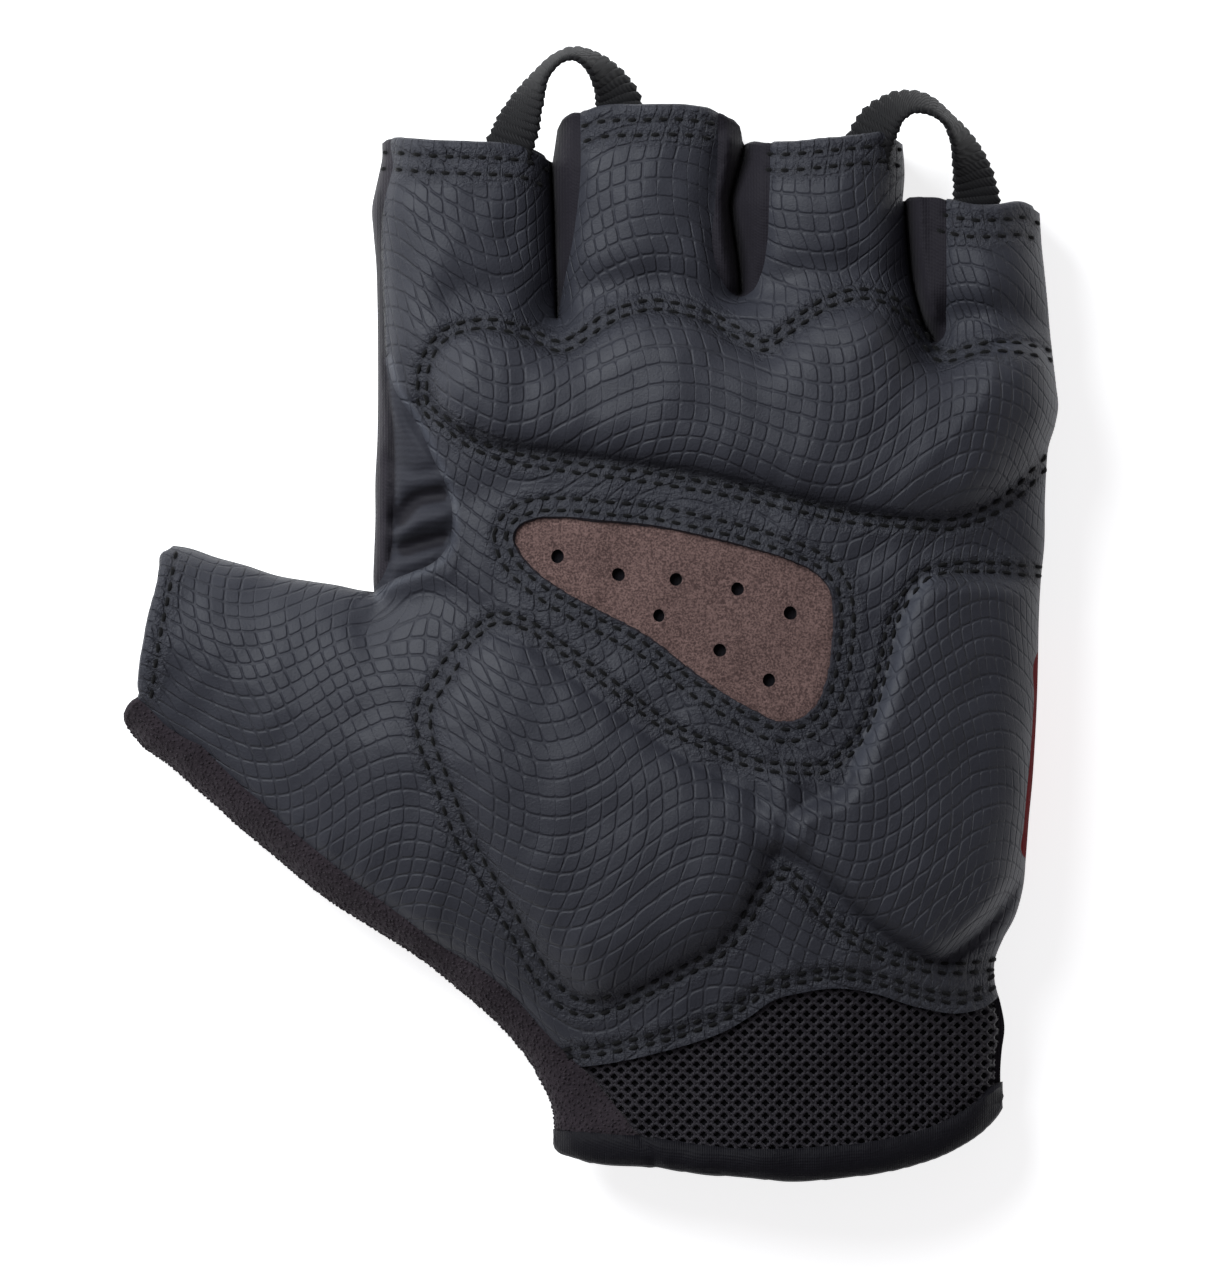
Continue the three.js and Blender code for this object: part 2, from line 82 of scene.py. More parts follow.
# Lines on the plan, in millimetres. +Y points to the fingers, -X to the thumb.
PATHS = {
    "index_hem": ((-31.6, 70.8), (-29.5, 70.6), (-27.2, 70.3), (-22.7, 69.9), (-16.7, 69.7),
        (-12.2, 69.5), (-8.5, 68.9), (-6.3, 68)),
    "slot_index_middle": ((-6.1, 68), (-5.8, 61.9), (-5.6, 55.9), (-5.4, 49.9), (-5.2, 44.5)),
    "middle_left": ((-5.9, 68), (-5.5, 70.6), (-5.2, 72.8)),
    "middle_hem": ((-5.2, 72.8), (-4.4, 73.9), (-3.2, 74.5), (-1.7, 74.5), (1.3, 75.1),
        (7.3, 75.3), (14.8, 75.3), (17.8, 74.9), (20, 74.2), (22.3, 72.9), (22.7, 71)),
    "slot_middle_ring": ((23, 70.6), (22.3, 67.6), (21.5, 65), (20.8, 61.9), (21.2, 58.2),
        (22, 52.9), (22.3, 48.4)),
    "ring_hem": ((23.3, 70.6), (26, 70), (28.3, 69.8), (34.3, 70.2), (40.3, 70.8), (44.8, 71.2),
        (46.9, 70.6)),
    "ring_right": ((46.9, 70.6), (47.2, 66.5), (46.9, 62.1)),
    "slot_ring_little": ((47.2, 62.1), (47.5, 57.4), (48.1, 51.4), (49, 46.9), (50.2, 43.2),
        (51.5, 41.1)),
    "little_hem": ((47.4, 62), (49.3, 61.9), (51.5, 61.8), (53.3, 61.3), (56.8, 60.5),
        (61.3, 60.6), (65.8, 60.9), (67.6, 60.2)),
    "right_side": ((67.6, 60.2), (67.7, 58.2), (67.9, 55.2), (68.3, 51.4), (68.8, 46.2),
        (69.1, 42.4), (69.5, 38.7), (70, 34.2), (70.3, 31.2), (69.8, 28.2), (68.8, 24.9),
        (68.5, 21.4), (68.3, 16.9), (68.2, 10.2), (67.7, 5), (67.4, -1.1), (67.3, -7),
        (67.1, -13.8), (66.8, -19.8), (66.4, -25.8), (65.9, -31), (65.5, -36.3), (65, -41.5),
        (63.8, -45.8), (61.9, -49.4), (60.8, -52.4), (60.8, -55.5), (61.7, -58.9), (62.3, -62.5),
        (61.9, -66), (61.7, -68.8), (61.7, -71.2)),
    "cuff_hem": ((61.7, -71.2), (61.6, -74), (59.3, -77.1), (54.8, -80.1), (47.3, -82.8),
        (37.3, -84.3), (29.3, -84.8), (24.2, -84.3), (16.3, -83.7), (9.8, -82.8), (-2.2, -81.6),
        (-5.2, -80.2), (-5.5, -77.8)),
    "left_side": ((-5.5, -77.8), (-5.9, -74.8), (-6.5, -73), (-7.6, -70.8), (-9.2, -67.8),
        (-11.5, -64.8), (-14.2, -61.8), (-17.5, -58.8), (-21.1, -55.8), (-24.8, -52.8),
        (-29.2, -49.8), (-34, -46.8), (-38.8, -43.8), (-42.8, -40.8), (-46.4, -37.8), (-50, -34.8),
        (-53.6, -31.8), (-56.9, -28.8), (-60.4, -25.8), (-63.8, -22.8), (-67.6, -20.1),
        (-69.4, -18.1)),
    "thumb_hem": ((-69.4, -18.1), (-70, -16.3), (-69.5, -14.7), (-68.6, -13.7), (-67.6, -13),
        (-67.4, -10.8), (-67, -7.8), (-66.5, -4.8), (-65.9, -1.8), (-65.2, 1.2), (-64.4, 4.2),
        (-64, 7.2), (-63.8, 9.3), (-63.1, 10.2)),
    "thumb_upper": ((-63.1, 10.2), (-61, 9.9), (-56.5, 8.4), (-52.1, 7.2), (-47.5, 5.7),
        (-42.2, 4.8), (-38.2, 4.2), (-35, 3.5), (-32.8, 3.2)),
    "index_left": ((-32.8, 3.2), (-32.9, 5.2), (-32.8, 8.4), (-32.6, 13.9), (-32.6, 19.9),
        (-32.3, 25.9), (-32.2, 31.9), (-32.2, 37.9), (-32.3, 46.9), (-32.5, 52.9), (-32.9, 57.4),
        (-33.1, 61.2), (-32.6, 63.8), (-32, 66.5), (-31.6, 68.5), (-31.6, 70.8)),
    "index_seam": ((-30.5, 74), (-30.1, 69.5), (-29.8, 67.2), (-30.5, 64.2), (-31.3, 60.4),
        (-31.6, 55.9), (-31.4, 48.4), (-31.1, 42.4), (-30.7, 34.9), (-29.9, 28.9), (-29.6, 21.4),
        (-29.9, 13.9), (-30.3, 8.4), (-31.4, 5.4), (-32.9, 3.5), (-33.6, 2.8)),
    "gusset": ((-30.8, 37.9), (-29.3, 33.1), (-26.2, 28.5), (-23.6, 22.9), (-21.2, 17.4),
        (-20.8, 14.7), (-21.2, 11.2), (-22.2, 9), (-24.1, 7.3), (-26.5, 6.3), (-29.6, 5.1),
        (-31.2, 4.2), (-32.8, 3.2), (-35.2, 1.6)),
    "fourchette_index_middle": ((-1.7, 83), (-1.7, 74.7), (-1.7, 65), (-2.2, 60.1), (-2.8, 55.9),
        (-4, 50.2), (-5, 45.1), (-5.2, 43.9)),
    "fourchette_middle_ring": ((19, 83), (19, 74.7), (18.8, 66.5), (18.5, 61.2), (18.1, 55.2),
        (19.1, 50.9), (20.6, 48.4), (22.4, 47.5), (24.1, 48.3), (25.4, 50.7), (26.3, 55.2),
        (26.6, 61.2), (26.8, 69.5), (26.8, 83)),
    "fourchette_ring_little": ((51.5, 40.2), (52.9, 41.5), (53.2, 45.4), (53.2, 52.9),
        (53.2, 59.7), (53.2, 83)),
    "terry_seam": ((-73.7, -8.2), (-69.7, -11.5), (-65.9, -14.8), (-64, -16.8), (-61, -18.8),
        (-58.7, -19.9), (-56.5, -22.1), (-52.7, -25.8), (-49, -28.9), (-46, -31.9), (-42.2, -34.9),
        (-36.2, -39.8), (-28.7, -45.3), (-22.7, -49.9), (-16.7, -53.5), (-12.2, -57.1),
        (-7.7, -62.2), (-4, -66.1), (-0.2, -69.6), (3.1, -73.5), (6.2, -77.5), (8.8, -80.8),
        (11, -85.8)),
    "net_edge": ((-3.2, -68.4), (-0.7, -68.1), (4.3, -67.3), (9.8, -66), (15.1, -64.5),
        (20.3, -62.5), (23.8, -60.4), (27.2, -58), (31.3, -56.9), (37.3, -56.2), (42.2, -57),
        (48.8, -59.1), (55.7, -60.1), (59.3, -59.2), (61.3, -57.8), (64.3, -54.3)),
    "binding_edge": ((-6.5, -77.8), (-2.5, -78), (2.8, -78.3), (7.3, -78.6), (20.3, -80.2),
        (32.3, -80.2), (42.2, -79.3), (51.2, -77.1), (57.2, -74.1), (61.3, -71.1), (63.1, -69.3)),
    "trim_line": ((69.1, -4), (66.9, -6.3), (66.5, -13), (66, -20.6), (65.4, -26.6), (64.9, -32.5),
        (64.6, -35.9), (67.3, -38.5)),
    "patch": ((-11.8, 11.4), (-11, 13), (-8.8, 14.1), (-4.7, 14.4), (1.3, 13.9), (8.8, 13.2),
        (16.3, 11.7), (23.8, 9.8), (29.8, 7.9), (33.5, 6.1), (35.8, 3.4), (36.4, 0.1),
        (36.1, -5.5), (35, -11.2), (33.1, -14.7), (30.5, -16.3), (27.5, -16.3), (24.5, -14.8),
        (16.3, -9.8), (8.8, -4), (1.3, 0.1), (-4.7, 3.4), (-9.2, 6.8), (-11.2, 9.4)),
    "knuckle_row": ((-26, 31.6), (-25.7, 36.8), (-24.2, 40.2), (-22, 42.4), (-19, 43.5),
        (-15.2, 43.9), (-11.9, 43.3), (-7.9, 41.8), (-5.4, 40.7), (-4.5, 40.3), (-3.6, 40.9),
        (-1.5, 42.2), (1.3, 44.2), (5, 45.9), (8.8, 46.8), (13.3, 46.2), (18.1, 44.7),
        (21.9, 42.7), (24.6, 41.1), (25.6, 40.5), (26.6, 41.3), (30.3, 44), (34.7, 46.9),
        (38.8, 48.3), (43.3, 48.1), (46.3, 46.5), (49, 43.6), (50.8, 41.1), (52.6, 39),
        (54.8, 39.4), (57.5, 40.2), (62, 40.5), (71, 39.1)),
    "knuckle_row_low": ((72.5, 25.2), (68, 21.4), (65, 18.3), (59.8, 14.6), (53.8, 12.6),
        (46.3, 12.9), (38.8, 13.5), (28.3, 15.8), (19.3, 17.7), (7.3, 19.7), (-4.7, 21.3),
        (-13.7, 23), (-19, 25.3), (-22, 27.8), (-24.2, 29.2), (-26, 31.6)),
    "heel_row": ((70.3, 7), (66.5, 7), (61.3, 7.5), (56.9, 7.6), (53, 7.3), (50.3, 6.6), (46.7, 3),
        (44.5, -0.9), (43.3, -6.6), (41.5, -13.7), (39.5, -18.3), (37, -21), (34.6, -22.5),
        (31, -22.6), (25.8, -22.2), (21.6, -20.8), (17.3, -18.9), (12.3, -16.7), (6.6, -12.6),
        (0.9, -8.3), (-4.4, -4.4), (-10.3, -0.8), (-14.6, -0.1), (-16.9, -1.7), (-20.8, -5.5),
        (-23.8, -9.9), (-26, -13.5), (-26, -18.3), (-23.3, -25.8), (-20.3, -33.8), (-16.3, -40.8),
        (-12.4, -47.5), (-8, -55.4), (-4.4, -59.2), (-0.5, -60.4), (3.2, -59.5), (12.2, -55.2),
        (20.3, -50.5), (23.5, -46.6), (26.4, -41.4), (28.5, -39.6), (31.4, -42.2), (35.2, -46.8),
        (39.8, -49.9), (45.2, -52.5), (52.3, -54), (63.1, -53.5)),
    "heel_split": ((30.1, -22.3), (31.3, -26.6), (32.2, -31), (31.3, -35.5), (28.6, -41.5)),
    "knuckle_bulge": ((-24.2, 33.1), (-23.6, 37.6), (-21.5, 40.8), (-16.7, 42.3), (-11.5, 41.7),
        (-7, 39.8), (-4, 38.9), (1.3, 41.9), (6.5, 44.4), (11.8, 44.7), (17.8, 43), (23, 39.1),
        (26.3, 37.8), (30.5, 41.2), (35, 44.7), (38.8, 45.6), (43.3, 44.5), (47, 40.9), (50, 37.6),
        (52.3, 36.8), (56, 38.7), (61.3, 40.4), (66.5, 40.2), (68.8, 38.7), (70.6, 33.4),
        (70, 28.2), (68, 24.1), (64.3, 20.4), (59.8, 16.9), (53.8, 14.4), (43.3, 14.7), (35, 16.2),
        (26.8, 18.1), (17.8, 20.4), (7.3, 22.2), (-6.2, 24.1), (-16.7, 25.5), (-21.2, 28.2)),
    "thenar_bulge": ((-14.5, -2.9), (-17.9, -5), (-20.9, -8.5), (-23.6, -12.6), (-24.2, -16.3),
        (-22.6, -22.8), (-20.3, -28.3), (-17.3, -34.4), (-14.3, -40.4), (-11.3, -45.4),
        (-7.6, -51.4), (-3.8, -55.8), (-0.2, -58), (4, -57.6), (9.5, -54.9), (14.8, -51.8),
        (19, -48.8), (22.3, -45), (24.8, -40.9), (26.5, -37.4), (28, -34), (27.5, -30.3),
        (24.5, -27.3), (18.5, -24.3), (11.8, -20.6), (5.6, -16.2), (-0.1, -11.8), (-5.3, -7.8),
        (-10.7, -4)),
    "hypothenar_bulge": ((67.6, 4.2), (63.5, 5.1), (55.3, 5.8), (51.1, 5.4), (48.7, 3.3),
        (47, -0.6), (45.1, -7), (42.4, -15.8), (39.1, -22.9), (36.9, -26.6), (33.2, -28),
        (29.8, -30.4), (29.4, -34.2), (33.2, -38.1), (37, -41.6), (40.6, -45.2), (45, -48.6),
        (52.7, -51.6), (56.3, -49.4), (61.7, -44.2), (64.6, -40), (66.4, -32.5), (67.9, -16.1)),
}
HOLES = ((-5.2, 8.4), (4, 5.7), (12.7, 5), (21.8, 3.6), (29.8, 0), (10.1, -0.4), (19.2, -5.5),
         (26.5, -10))

# The silhouette, clockwise. A slot is a line between two fingers, walked down and up again.
# Tubes carry on straight past their hems, towards the point before or after the line.
SILHOUETTE = (
    ("index_hem", "hem", None, None),
    ("slot_index_middle", "slot", (-6.1, 88), None),
    ("middle_left", "side", None, (-5.0, 92)),
    ("middle_hem", "hem", None, None),
    ("slot_middle_ring", "slot", (23.0, 90), None),
    ("ring_hem", "hem", None, None),
    ("ring_right", "side", (46.9, 90), None),
    ("slot_ring_little", "slot", (47.3, 82), None),
    ("little_hem", "hem", None, None),
    ("right_side", "side", (66.8, 80), (61.5, -98)),
    ("cuff_hem", "hem", None, None),
    ("left_side", "side", (-5.2, -98), (-83, -9.5)),
    ("thumb_hem", "hem", None, None),
    ("thumb_upper", "side", (-80, 15.6), None),
    ("index_left", "side", None, (-31.7, 88)),
)
SLOT_HALF_WIDTH = 0.03
SLOT_OVERLAP = 1.4       # how far past its middle a slot's sides end up, against how far they were

NARROW_SEAMS = (
    "index_seam", "gusset", "terry_seam", "fourchette_index_middle", "fourchette_middle_ring",
    "fourchette_ring_little",
)
SEAMS = (
    "index_seam", "gusset", "fourchette_index_middle", "fourchette_middle_ring",
    "fourchette_ring_little", "terry_seam", "net_edge", "trim_line", "heel_row", "heel_split",
    "binding_edge", "knuckle_ring", "patch",
)

# Crowned pads: outline, height of the crown, width of the slope round it, and its roundness.
PADS = (
    ("knuckle_bulge", 3.7, 7.0, 2.0),
    ("thenar_bulge", 3.3, 9.0, 2.0),
    ("hypothenar_bulge", 3.4, 2.7, 1.3),
)

# Stitch rows: the line, how far to its left, first and last share of it.
STITCH_ROWS = (
    ("index_hem", -1.5, 0.02, 1.0),
    ("index_hem", -4.0, 0.0, 1.0),
    ("middle_hem", -1.5, 0.16, 0.79),
    ("middle_hem", -3.8, 0.16, 0.79),
    ("ring_hem", -1.1, 0.165, 1.0),
    ("ring_hem", -3.5, 0.165, 1.0),
    ("little_hem", -1.6, 0.3, 1.0),
    ("little_hem", -4.1, 0.3, 1.0),
    ("thumb_hem_row", 0.0, 0.0, 1.0),
    ("knuckle_ring", 0.0, 0.0, 1.0),
    ("knuckle_ring", -1.4, 0.0, 1.0),
    ("heel_row", 0.0, 0.0, 1.0),
    ("heel_row", 1.35, 0.0, 0.45),
    ("heel_row", 2.2, 0.46, 0.72),
    ("heel_row", 1.45, 0.73, 1.0),
    ("patch", 0.9, 0.0, 1.0),
    ("patch", 2.75, 0.0, 1.0),
    ("net_edge", 1.6, 0.0, 1.0),
    ("net_edge", 2.9, 0.0, 1.0),
)

UNDER_KNUCKLES = (
    (-17.5, 27.3), (-13.7, 25.6), (-4.7, 24), (7.3, 22.3), (19.3, 20.2), (28.3, 17.9), (38.8, 15.3),
    (45, 14),
)
OUTER_PAD_RIDGE = (
    (50.4, 4.9), (48.3, 2.3), (47.1, -1.2), (45.5, -7.8), (42.9, -16.3), (39.7, -22.9),
)

# Creases and dents: points along them, depth (a ridge if negative) and half width.
CREASES = (
    (((-29.0, 14.0), (-26.5, 16.9), (-22.4, 17.9)), 2.3, 1.5),
    (((-29.4, 12.0), (-26, 13.6), (-21.7, 14.7)), -0.9, 1.0),
    (((-28.5, 9.6), (-25.2, 10.5), (-22, 11.4)), 2.3, 1.4),
    (((-29.4, 7.0), (-26, 8.0), (-23.4, 9.0)), -0.6, 0.9),
    (((-29.6, 22.6), (-26.4, 21.0), (-23.4, 21.4)), 0.7, 1.0),
    (((-30.6, 24), (-29.9, 15), (-30.2, 6)), 0.9, 0.8),
    (((-29.9, 34), (-29.0, 29.7), (-24.8, 23.6), (-22.1, 19.5), (-20.2, 13.6), (-20.1, 9.0),
      (-21.5, 5.6)), -0.5, 0.7),
    (((-34, -2), (-28, 1.5), (-22, 2.6), (-17, 0)), 0.9, 2.6),
    (OUTER_PAD_RIDGE, -0.6, 1.0),
    (((28.6, -26.0), (28.8, -30), (28.6, -33.4)), -1.9, 2.6),
    (((24.6, -27.5), (24.4, -31), (26.4, -35.5)), 0.5, 1.8),
    (((27.5, -35.8), (32, -38.9), (36.2, -42.6), (40.4, -46.4), (45.4, -49.8), (52.5, -52.8)),
     0.9, 1.0),
    (((53.8, -51.8), (58.3, -48), (62.3, -43.5), (64.5, -40.5)), 1.1, 1.1),
    (UNDER_KNUCKLES, 0.9, 0.9),
    (((-20, 47.5), (-13, 48.5), (-7.5, 46)), 1.7, 3.6),
    (((-11, 56), (-8, 52.5), (-6.2, 48)), 1.0, 3.2),
    (((0, 48.5), (9, 49.5), (18, 47.8)), 1.9, 3.2),
    (((27, 49.5), (36, 51.2), (46, 50.2)), 1.9, 3.2),
    (((54, 44.5), (61, 44.8), (68, 44)), 2.2, 2.8),
    (((20.9, 71), (20.1, 66), (19.5, 62), (19.5, 58), (20.3, 53), (21.3, 49.8)), -1.9, 1.25),
    (((49.0, 63), (49.2, 57), (49.8, 51.5), (50.6, 47), (51.3, 44.5)), -1.5, 1.1),
    (((-25, 29), (-23.6, 34), (-21.5, 39)), 0.8, 3.0),
    (((-26, 60), (-18, 60), (-11, 59)), -0.5, 6.0),
    (((3, 62), (9, 62), (15, 62)), -0.8, 6.5),
    (((30, 61), (35, 61), (41, 61)), -0.7, 5.5),
    (((56, 53), (60, 53), (64, 53)), -0.5, 4.5),
    (((-20, 15.5), (-14, 18.5), (-4, 17), (10, 15.5)), 0.5, 2.6),
    (((40, 8), (46, 9.4), (56, 9.6), (66, 9.8)), 0.6, 2.4),
    (((-60, -17), (-52, -21), (-44, -28)), 0.5, 3.2),
)

# Painted shade in folds and channels: points along them, half width and darkness.
PAINTED_SHADE_FOLDS = (
    (((-28.8, 14.3), (-26.5, 16.9), (-22.6, 17.9)), 1.5, 1.0),
    (((-28.0, 9.7), (-25.2, 10.5), (-22.4, 11.2)), 1.4, 1.0),
    (UNDER_KNUCKLES, 1.0, 0.7),
    (((-31.6, 63), (-31.9, 56), (-31.7, 48), (-31.4, 42), (-31.0, 35), (-30.3, 29), (-30.1, 21),
      (-30.3, 14), (-30.7, 8.2)), 0.75, 1.0),
)

# Painted highlights along cut edges and ridges of the leather: points, half width and brightness.
GUSSET_LIP = (
    (-30.2, 38.1), (-28.7, 33.3), (-25.7, 28.8), (-23.0, 23.1), (-20.6, 17.5), (-20.2, 14.7),
    (-20.6, 11.0), (-21.7, 8.5), (-23.9, 6.7), (-26.4, 5.7), (-29.4, 4.5), (-32.3, 2.7),
)
PAINTED_HIGHLIGHT_LINES = (
    (GUSSET_LIP, 0.5, 0.9),
    (OUTER_PAD_RIDGE, 0.9, 0.7),
    (((60.7, 39.7), (63.8, 40.1), (66.7, 39.6), (68.7, 37.7), (69.4, 35.5)), 0.7, 0.4),
)

# Seams on the back of the hand, which is underneath.
BACK_SEAMS = {
    "terry_back": (
        (-33.6, 12), (-33.4, 2), (-31.5, -8), (-27, -24), (-17, -42), (-7, -58), (2, -72), (8, -86),
    ),
    "trim_back": ((72, 1), (64.6, -3), (62.6, -12), (61.6, -24), (62.0, -36), (70, -42)),
}

# The zones of each side, looked for in this order: the lines round them, walked backwards after
# a minus sign, and the points that close them.
BINDING_ZONE = ("binding", ("binding_edge",), ((80, -69.3), (80, -99), (-20, -99), (-20, -77.8)))
PALM_ZONES = (
    BINDING_ZONE,
    ("terry", ("terry_seam",), ((11, -95), (-95, -95), (-95, -8.2))),
    ("net", ("net_edge",), ((80, -54.3), (80, -99), (-20, -99), (-20, -68.4))),
    ("trim", ("trim_line",), ((80, -38.5), (80, -4))),
    ("strip", ("index_seam",), ((-34, 3.6), (-33.6, 52), (-34, 57), (-34, 63), (-33, 74))),
    ("gusset", ("gusset",), (
        (-34, 3.8), (-31.4, 5.4), (-30.3, 8.4), (-29.7, 21.4), (-30.6, 34.9))),
    ("side_1", ("fourchette_index_middle", "-slot_index_middle"), ((-6.1, 83),)),
    ("side_2", ("fourchette_middle_ring",), ()),
    ("side_3", ("fourchette_ring_little",), (
        (47.25, 83), (47.2, 62.1), (47.5, 57.4), (48.1, 51.4), (49, 46.9), (50.2, 43.2),
        (51.5, 41.1),
    )),
    ("patch", ("patch",), ()),
    ("knuckle", ("knuckle_ring",), ()),
    ("thenar", ("heel_row",), ((80, -53.5), (80, 7))),
)
# What the thenar zone gives up to the outer pad, beyond the split between the two.
OUTER_PAD = (("hypothenar", ("heel_split",), ((28.6, -70), (90, -70), (90, 20), (30.1, 20))),)
BACK_ZONES = (
    BINDING_ZONE,
    ("terry_back", ("terry_back",), ((-95, -90), (-95, 14), (-40, 14))),
    ("trim_back", ("trim_back",), ((80, -42), (80, 1))),
)


# ---- Lines and points on the plan ----

def smooth(first, last, value):
    """From 0 at first to 1 at last, level at both ends."""
    t = np.clip((value - first) / (last - first), 0, 1)
    return t * t * (3 - 2 * t)


def bell(gap, width, power=2):
    """From 1 on a line down to 0 beyond its width."""
    return np.exp(-((gap / width) ** power))


def unit(vectors, least=1e-12):
    return vectors / (np.linalg.norm(vectors, axis=1)[:, None] + least)


def evenly(points, step):
    """The same line, cut into even steps."""
    lengths = np.r_[0, np.cumsum(np.hypot(*np.diff(points[:, :2], axis=0).T))]
    marks = np.linspace(0, lengths[-1], max(2, int(round(lengths[-1] / step)) + 1))
    return np.column_stack([np.interp(marks, lengths, column) for column in points.T])


def hermite(t, start, leave, end, arrive):
    """Between two points, with the given slopes at them."""
    return ((2 * t**3 - 3 * t**2 + 1) * start + (t**3 - 2 * t**2 + t) * leave
            + (3 * t**2 - 2 * t**3) * end + (t**3 - t**2) * arrive)


def curve(points, step=0.6, closed=False):
    """A smooth line through a few points."""
    p = np.array(points, float)
    if closed:
        p = np.vstack([p[-1], p, p[0], p[1]])
    else:
        p = np.vstack([2 * p[0] - p[1], p, 2 * p[-1] - p[-2]])
    t = np.linspace(0, 1, 12, endpoint=False)[:, None]
    parts = []
    for a, b, c, d in zip(p, p[1:], p[2:], p[3:]):
        ab, bc, cd = (np.linalg.norm(v) + 1e-9 for v in (b - a, c - b, d - c))
        leave = (bc * (b - a) / ab + ab * (c - b) / bc) / (ab + bc) * bc
        arrive = (cd * (c - b) / bc + bc * (d - c) / cd) / (bc + cd) * bc
        parts.append(hermite(t, b, leave, c, arrive))
    return evenly(np.vstack([*parts, p[-2][None]]), step)


def curve_in_space(rows, step):
    """A smooth line through points with any number of columns, in even steps."""
    fine = np.linspace(0, len(rows) - 1, len(rows) * 16)
    left = np.clip(np.floor(fine).astype(int), 0, len(rows) - 2)
    t = (fine - left)[:, None]
    slope = np.gradient(rows, axis=0)
    smoothed = hermite(t, rows[left], slope[left], rows[left + 1], slope[left + 1])
    lengths = np.r_[0, np.cumsum(np.linalg.norm(np.diff(smoothed[:, :3], axis=0), axis=1))]
    marks = np.linspace(0, lengths[-1], int(lengths[-1] / step))
    return np.column_stack([np.interp(marks, lengths, column) for column in smoothed.T])


def shifted(line, distance):
    """A line moved to its left."""
    run = unit(np.gradient(line[:, :2], axis=0))
    return line[:, :2] + distance * np.column_stack([-run[:, 1], run[:, 0]])


def ringed(line):
    """A closed line, with its first point again at its end."""
    return np.vstack([line, line[:1]])


def in_box(spots, low, high):
    return np.nonzero(((spots >= low) & (spots <= high)).all(axis=1))[0]


def nearest(spots, line, reach=FAR):
    """Distance of each spot from a line, the way along it, and the nearest point of it."""
    gap = np.full(len(spots), float(reach))
    along = np.zeros(len(spots))
    foot = np.array(spots, float)
    near = in_box(spots, line.min(axis=0) - reach, line.max(axis=0) + reach)
    start, run = line[:-1], np.diff(line, axis=0)
    square = (run**2).sum(axis=1) + 1e-12
    passed = np.r_[0, np.cumsum(np.sqrt(square))]
    for part in np.array_split(near, max(1, len(near) * len(start) // 1500000)):
        away = spots[part][:, None] - start
        share = np.clip((away * run).sum(axis=2) / square, 0, 1)
        distance = ((away - share[..., None] * run) ** 2).sum(axis=2)
        best = distance.argmin(axis=1)
        rows = np.arange(len(part))
        share = share[rows, best]
        gap[part] = np.minimum(np.sqrt(distance[rows, best]), reach)
        along[part] = passed[best] + share * np.sqrt(square[best])
        foot[part] = start[best] + share[:, None] * run[best]
    return gap, along, foot


def within(spots, outline):
    """Which spots lie inside a closed outline."""
    found = np.zeros(len(spots), bool)
    near = in_box(spots, outline.min(axis=0), outline.max(axis=0))
    ahead = np.roll(outline, -1, axis=0)
    for part in np.array_split(near, max(1, len(near) * len(outline) // 3000000)):
        x, y = spots[part][:, :1], spots[part][:, 1:]
        above = (outline[:, 1] > y) != (ahead[:, 1] > y)
        rise = np.where(ahead[:, 1] == outline[:, 1], 1e-12, ahead[:, 1] - outline[:, 1])
        cross = outline[:, 0] + (y - outline[:, 1]) * (ahead[:, 0] - outline[:, 0]) / rise
        found[part] = (above & (x < cross)).sum(axis=1) % 2 == 1
    return found


def waves(spots, length, seed, count=14):
    """Soft random waves, about one high."""
    rng = np.random.default_rng(seed)
    turn = rng.uniform(0, 2 * np.pi, count)
    pace = 2 * np.pi / (length * rng.uniform(0.7, 1.6, count))
    phase = rng.uniform(0, 2 * np.pi, count)
    ways = spots[:, :1] * np.cos(turn) + spots[:, 1:2] * np.sin(turn)
    return np.sin(ways * pace + phase).sum(axis=1) / math.sqrt(count / 2)


LINES = {}


def line(name):
    """A named line on the plan, made once."""
    if not LINES:
        for key, points in PATHS.items():
            LINES[key] = curve(points, closed=key == "patch" or key.endswith("bulge"))
        LINES["knuckle_ring"] = evenly(
            np.vstack([LINES["knuckle_row"], LINES["knuckle_row_low"]]), 0.6)
        LINES["thumb_hem_row"] = curve(
            ((-66.0, -12.2), (-65.4, -8), (-64.6, -3), (-63.6, 2), (-62.6, 8.6)))
        for key, points in BACK_SEAMS.items():
            LINES[key] = curve(points)
    return LINES[name]


# ---- Meshes over the plan ----

def links(first, count, closed=False):
    """The edges along a run of points."""
    ids = np.arange(first, first + count)
    pairs = np.column_stack([ids, np.roll(ids, -1)])
    return [tuple(pair) for pair in (pairs if closed else pairs[:-1]).tolist()]


def grid_over(outline, grid):
    """Points of a triangular grid inside an outline."""
    low, high = outline.min(axis=0), outline.max(axis=0)
    x, y = np.meshgrid(
        np.arange(low[0], high[0], grid), np.arange(low[1], high[1], grid * ROW_STEP))
    x = x + (np.arange(len(x)) % 2 * grid / 2)[:, None]
    spots = np.column_stack([x.ravel(), y.ravel()])
    return spots[within(spots, outline)]


def triangles_over(rings, lines, spots, merge):
    """Triangles inside the first ring and outside the others, which keep to the lines."""
    points, edges, count = [], [], 0
    for part, closed in [(ring, True) for ring in rings] + [(part, False) for part in lines]:
        edges += links(count, len(part), closed)
        points.append(part[:, :2])
        count += len(part)
    made = delaunay_2d_cdt(np.vstack([*points, spots]).tolist(), edges, [], 0, merge)
    corners, faces = np.array([tuple(p) for p in made[0]]), np.array(made[2])
    middles = corners[faces].mean(axis=1)
    inside = within(middles, rings[0])
    for hole in rings[1:]:
        inside &= ~within(middles, hole)
    faces = faces[inside]
    a, b, c = (corners[faces[:, i]] for i in range(3))
    turn = (b - a)[:, 0] * (c - a)[:, 1] - (b - a)[:, 1] * (c - a)[:, 0]
    faces[turn < 0] = faces[turn < 0][:, ::-1]
    return corners, faces[np.abs(turn) > 1e-9]


